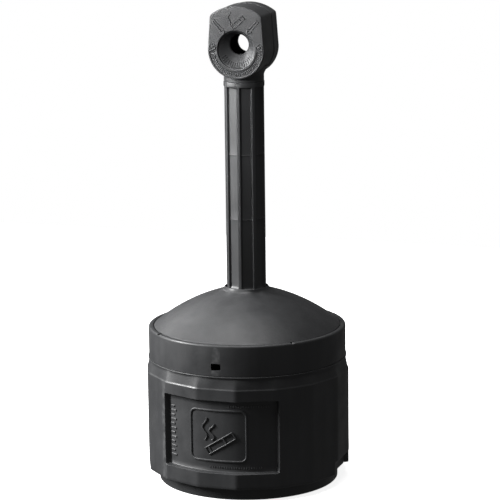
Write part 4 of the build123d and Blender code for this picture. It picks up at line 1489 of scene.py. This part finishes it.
    def build(self, palette: Palette) -> None:
        """Makes the shell, its ribs, ticks and marks.

        Args:
            palette: the materials.
        """
        word = self.side.name.lower()
        mesh = self.skin()
        self.collar(mesh)
        shell = finish_mesh(mesh, f"head_{word}_moulding", 46)
        palette.dress(shell, Finish.PLASTIC, "cover", f"head_{word}_shell")
        parts = {"snuffing_ribs": self.snuffing_ribs, "band_ticks": self.ticks, "face_marks": self.marks}
        for name, maker in parts.items():
            palette.dress(finish_mesh(maker(), f"{word}_{name}", 60), Finish.PLASTIC, "cover")


@dataclass
class Hardware:
    """The steel pail with its bail, and the screws and rivets, which keep their own shapes."""

    finishes: tuple[tuple[str, Finish], ...] = (
        ("pail_wall", Finish.SHEET),
        ("pail_bottom", Finish.SHEET),
        ("pail_ear_left", Finish.SHEET),
        ("pail_ear_right", Finish.SHEET),
        ("pail_bail", Finish.WIRE),
        ("ear_rivets", Finish.RIVET),
        ("neck_screws", Finish.SCREW),
        ("head_screws", Finish.SCREW),
    )

    def build(self, palette: Palette) -> None:
        """Repaints each node."""
        for node, finish in self.finishes:
            palette.repaint(node, finish)


# ---------------------------------------------------------------- studio
class Lamp(NamedTuple):
    """A rectangular lamp that faces a point on the neck's axis; degrees, metres and watts."""

    name: str
    swing: float            # from the camera's azimuth
    elevation: float
    reach: float
    size: Point
    power: float
    aim_z: float = 0.45
    spread: float = 180.0


@dataclass
class Studio:
    """Paper floor, lamps and the camera, in metres."""

    azimuth: float = 18.2
    elevation: float = 11.6
    distance: float = 5.0
    aim_up: float = 0.474
    aim_right: float = 0.008
    roll: float = -0.7
    lens: float = 176.5
    sweep: float = 2.4
    fill: float = 0.10
    lamps: tuple[Lamp, ...] = (
        Lamp("key", -85, 22, 2.6, (0.7, 1.3), 180),
        Lamp("overhead", -60, 80, 2.6, (2.0, 2.0), 62),
        Lamp("rim", -140, 35, 2.6, (0.9, 1.3), 16),
        Lamp("head_spot", -45, 18, 1.5, (0.2, 0.2), 0.5, 0.84, 26.0),
    )

    def toward(self, azimuth: float, elevation: float) -> Vector:
        """The direction from the object at an azimuth and elevation."""
        a, e = radians(azimuth), radians(elevation)
        return Vector((sin(a) * cos(e), -cos(a) * cos(e), sin(e)))

    def camera(self) -> None:
        """The camera, a little off the front on the right."""
        data = bpy.data.cameras.new("camera")
        data.lens = self.lens
        data.sensor_width = 36.0
        camera = bpy.data.objects.new("camera", data)
        bpy.context.scene.collection.objects.link(camera)
        out = self.toward(self.azimuth, self.elevation)
        right = self.toward(self.azimuth + 90, 0)
        aim = Vector((0, 0, self.aim_up)) + right * self.aim_right
        camera.location = aim + out * self.distance
        facing = out.to_track_quat("Z", "Y").to_matrix().to_4x4()
        roll = Matrix.Rotation(radians(self.roll), 4, "Z")
        camera.matrix_world = Matrix.Translation(camera.location) @ facing @ roll
        bpy.context.scene.camera = camera

    def light(self, lamp: Lamp) -> None:
        """Hangs one lamp.

        Args:
            lamp: its place, size and power.
        """
        data = bpy.data.lights.new(lamp.name, "AREA")
        data.shape = "RECTANGLE"
        data.size, data.size_y = lamp.size
        data.energy = lamp.power
        data.spread = radians(lamp.spread)
        body = bpy.data.objects.new(lamp.name, data)
        bpy.context.scene.collection.objects.link(body)
        out = self.toward(self.azimuth + lamp.swing, lamp.elevation)
        turn = out.to_track_quat("Z", "Y").to_matrix().to_4x4()
        body.matrix_world = Matrix.Translation(Vector((0, 0, lamp.aim_z)) + out * lamp.reach) @ turn

    def world(self) -> None:
        """White behind the object, and only a faint light from all round."""
        world = bpy.data.worlds.new("studio")
        world.use_nodes = True
        tree = world.node_tree
        plain = tree.nodes["Background"]
        plain.inputs["Color"].default_value = (1.0, 1.0, 1.0, 1.0)
        sight = tree.nodes.new("ShaderNodeLightPath").outputs["Is Camera Ray"]
        level = tree.nodes.new("ShaderNodeMapRange")
        level.inputs["To Min"].default_value = self.fill
        level.inputs["To Max"].default_value = 1.0
        tree.links.new(sight, level.inputs["Value"])
        tree.links.new(level.outputs["Result"], plain.inputs["Strength"])
        bpy.context.scene.world = world

    def build(self) -> None:
        """Sets the stage."""
        mesh = bmesh.new()
        bmesh.ops.create_grid(mesh, x_segments=1, y_segments=1, size=self.sweep)
        floor = finish_mesh(mesh, "paper_floor")
        floor.data.materials.append(StudioPaper().make())
        floor.visible_diffuse = False
        floor.visible_glossy = False
        self.world()
        for lamp in self.lamps:
            self.light(lamp)
        self.camera()
        bpy.context.scene.view_settings.view_transform = "Standard"


def main() -> None:
    """Builds the sub-assemblies in order, then the studio."""
    logging.basicConfig(level=logging.INFO, format="%(name)s: %(message)s")
    palette = Palette()
    base = Base()
    base.build(palette)
    FieldSign().build(base, palette)
    Cover().build(palette, base)
    Neck().build(palette)
    for side in Side:
        Head(side).build(palette)
    Hardware().build(palette)
    Studio().build()


if __name__ == "__main__":
    main()
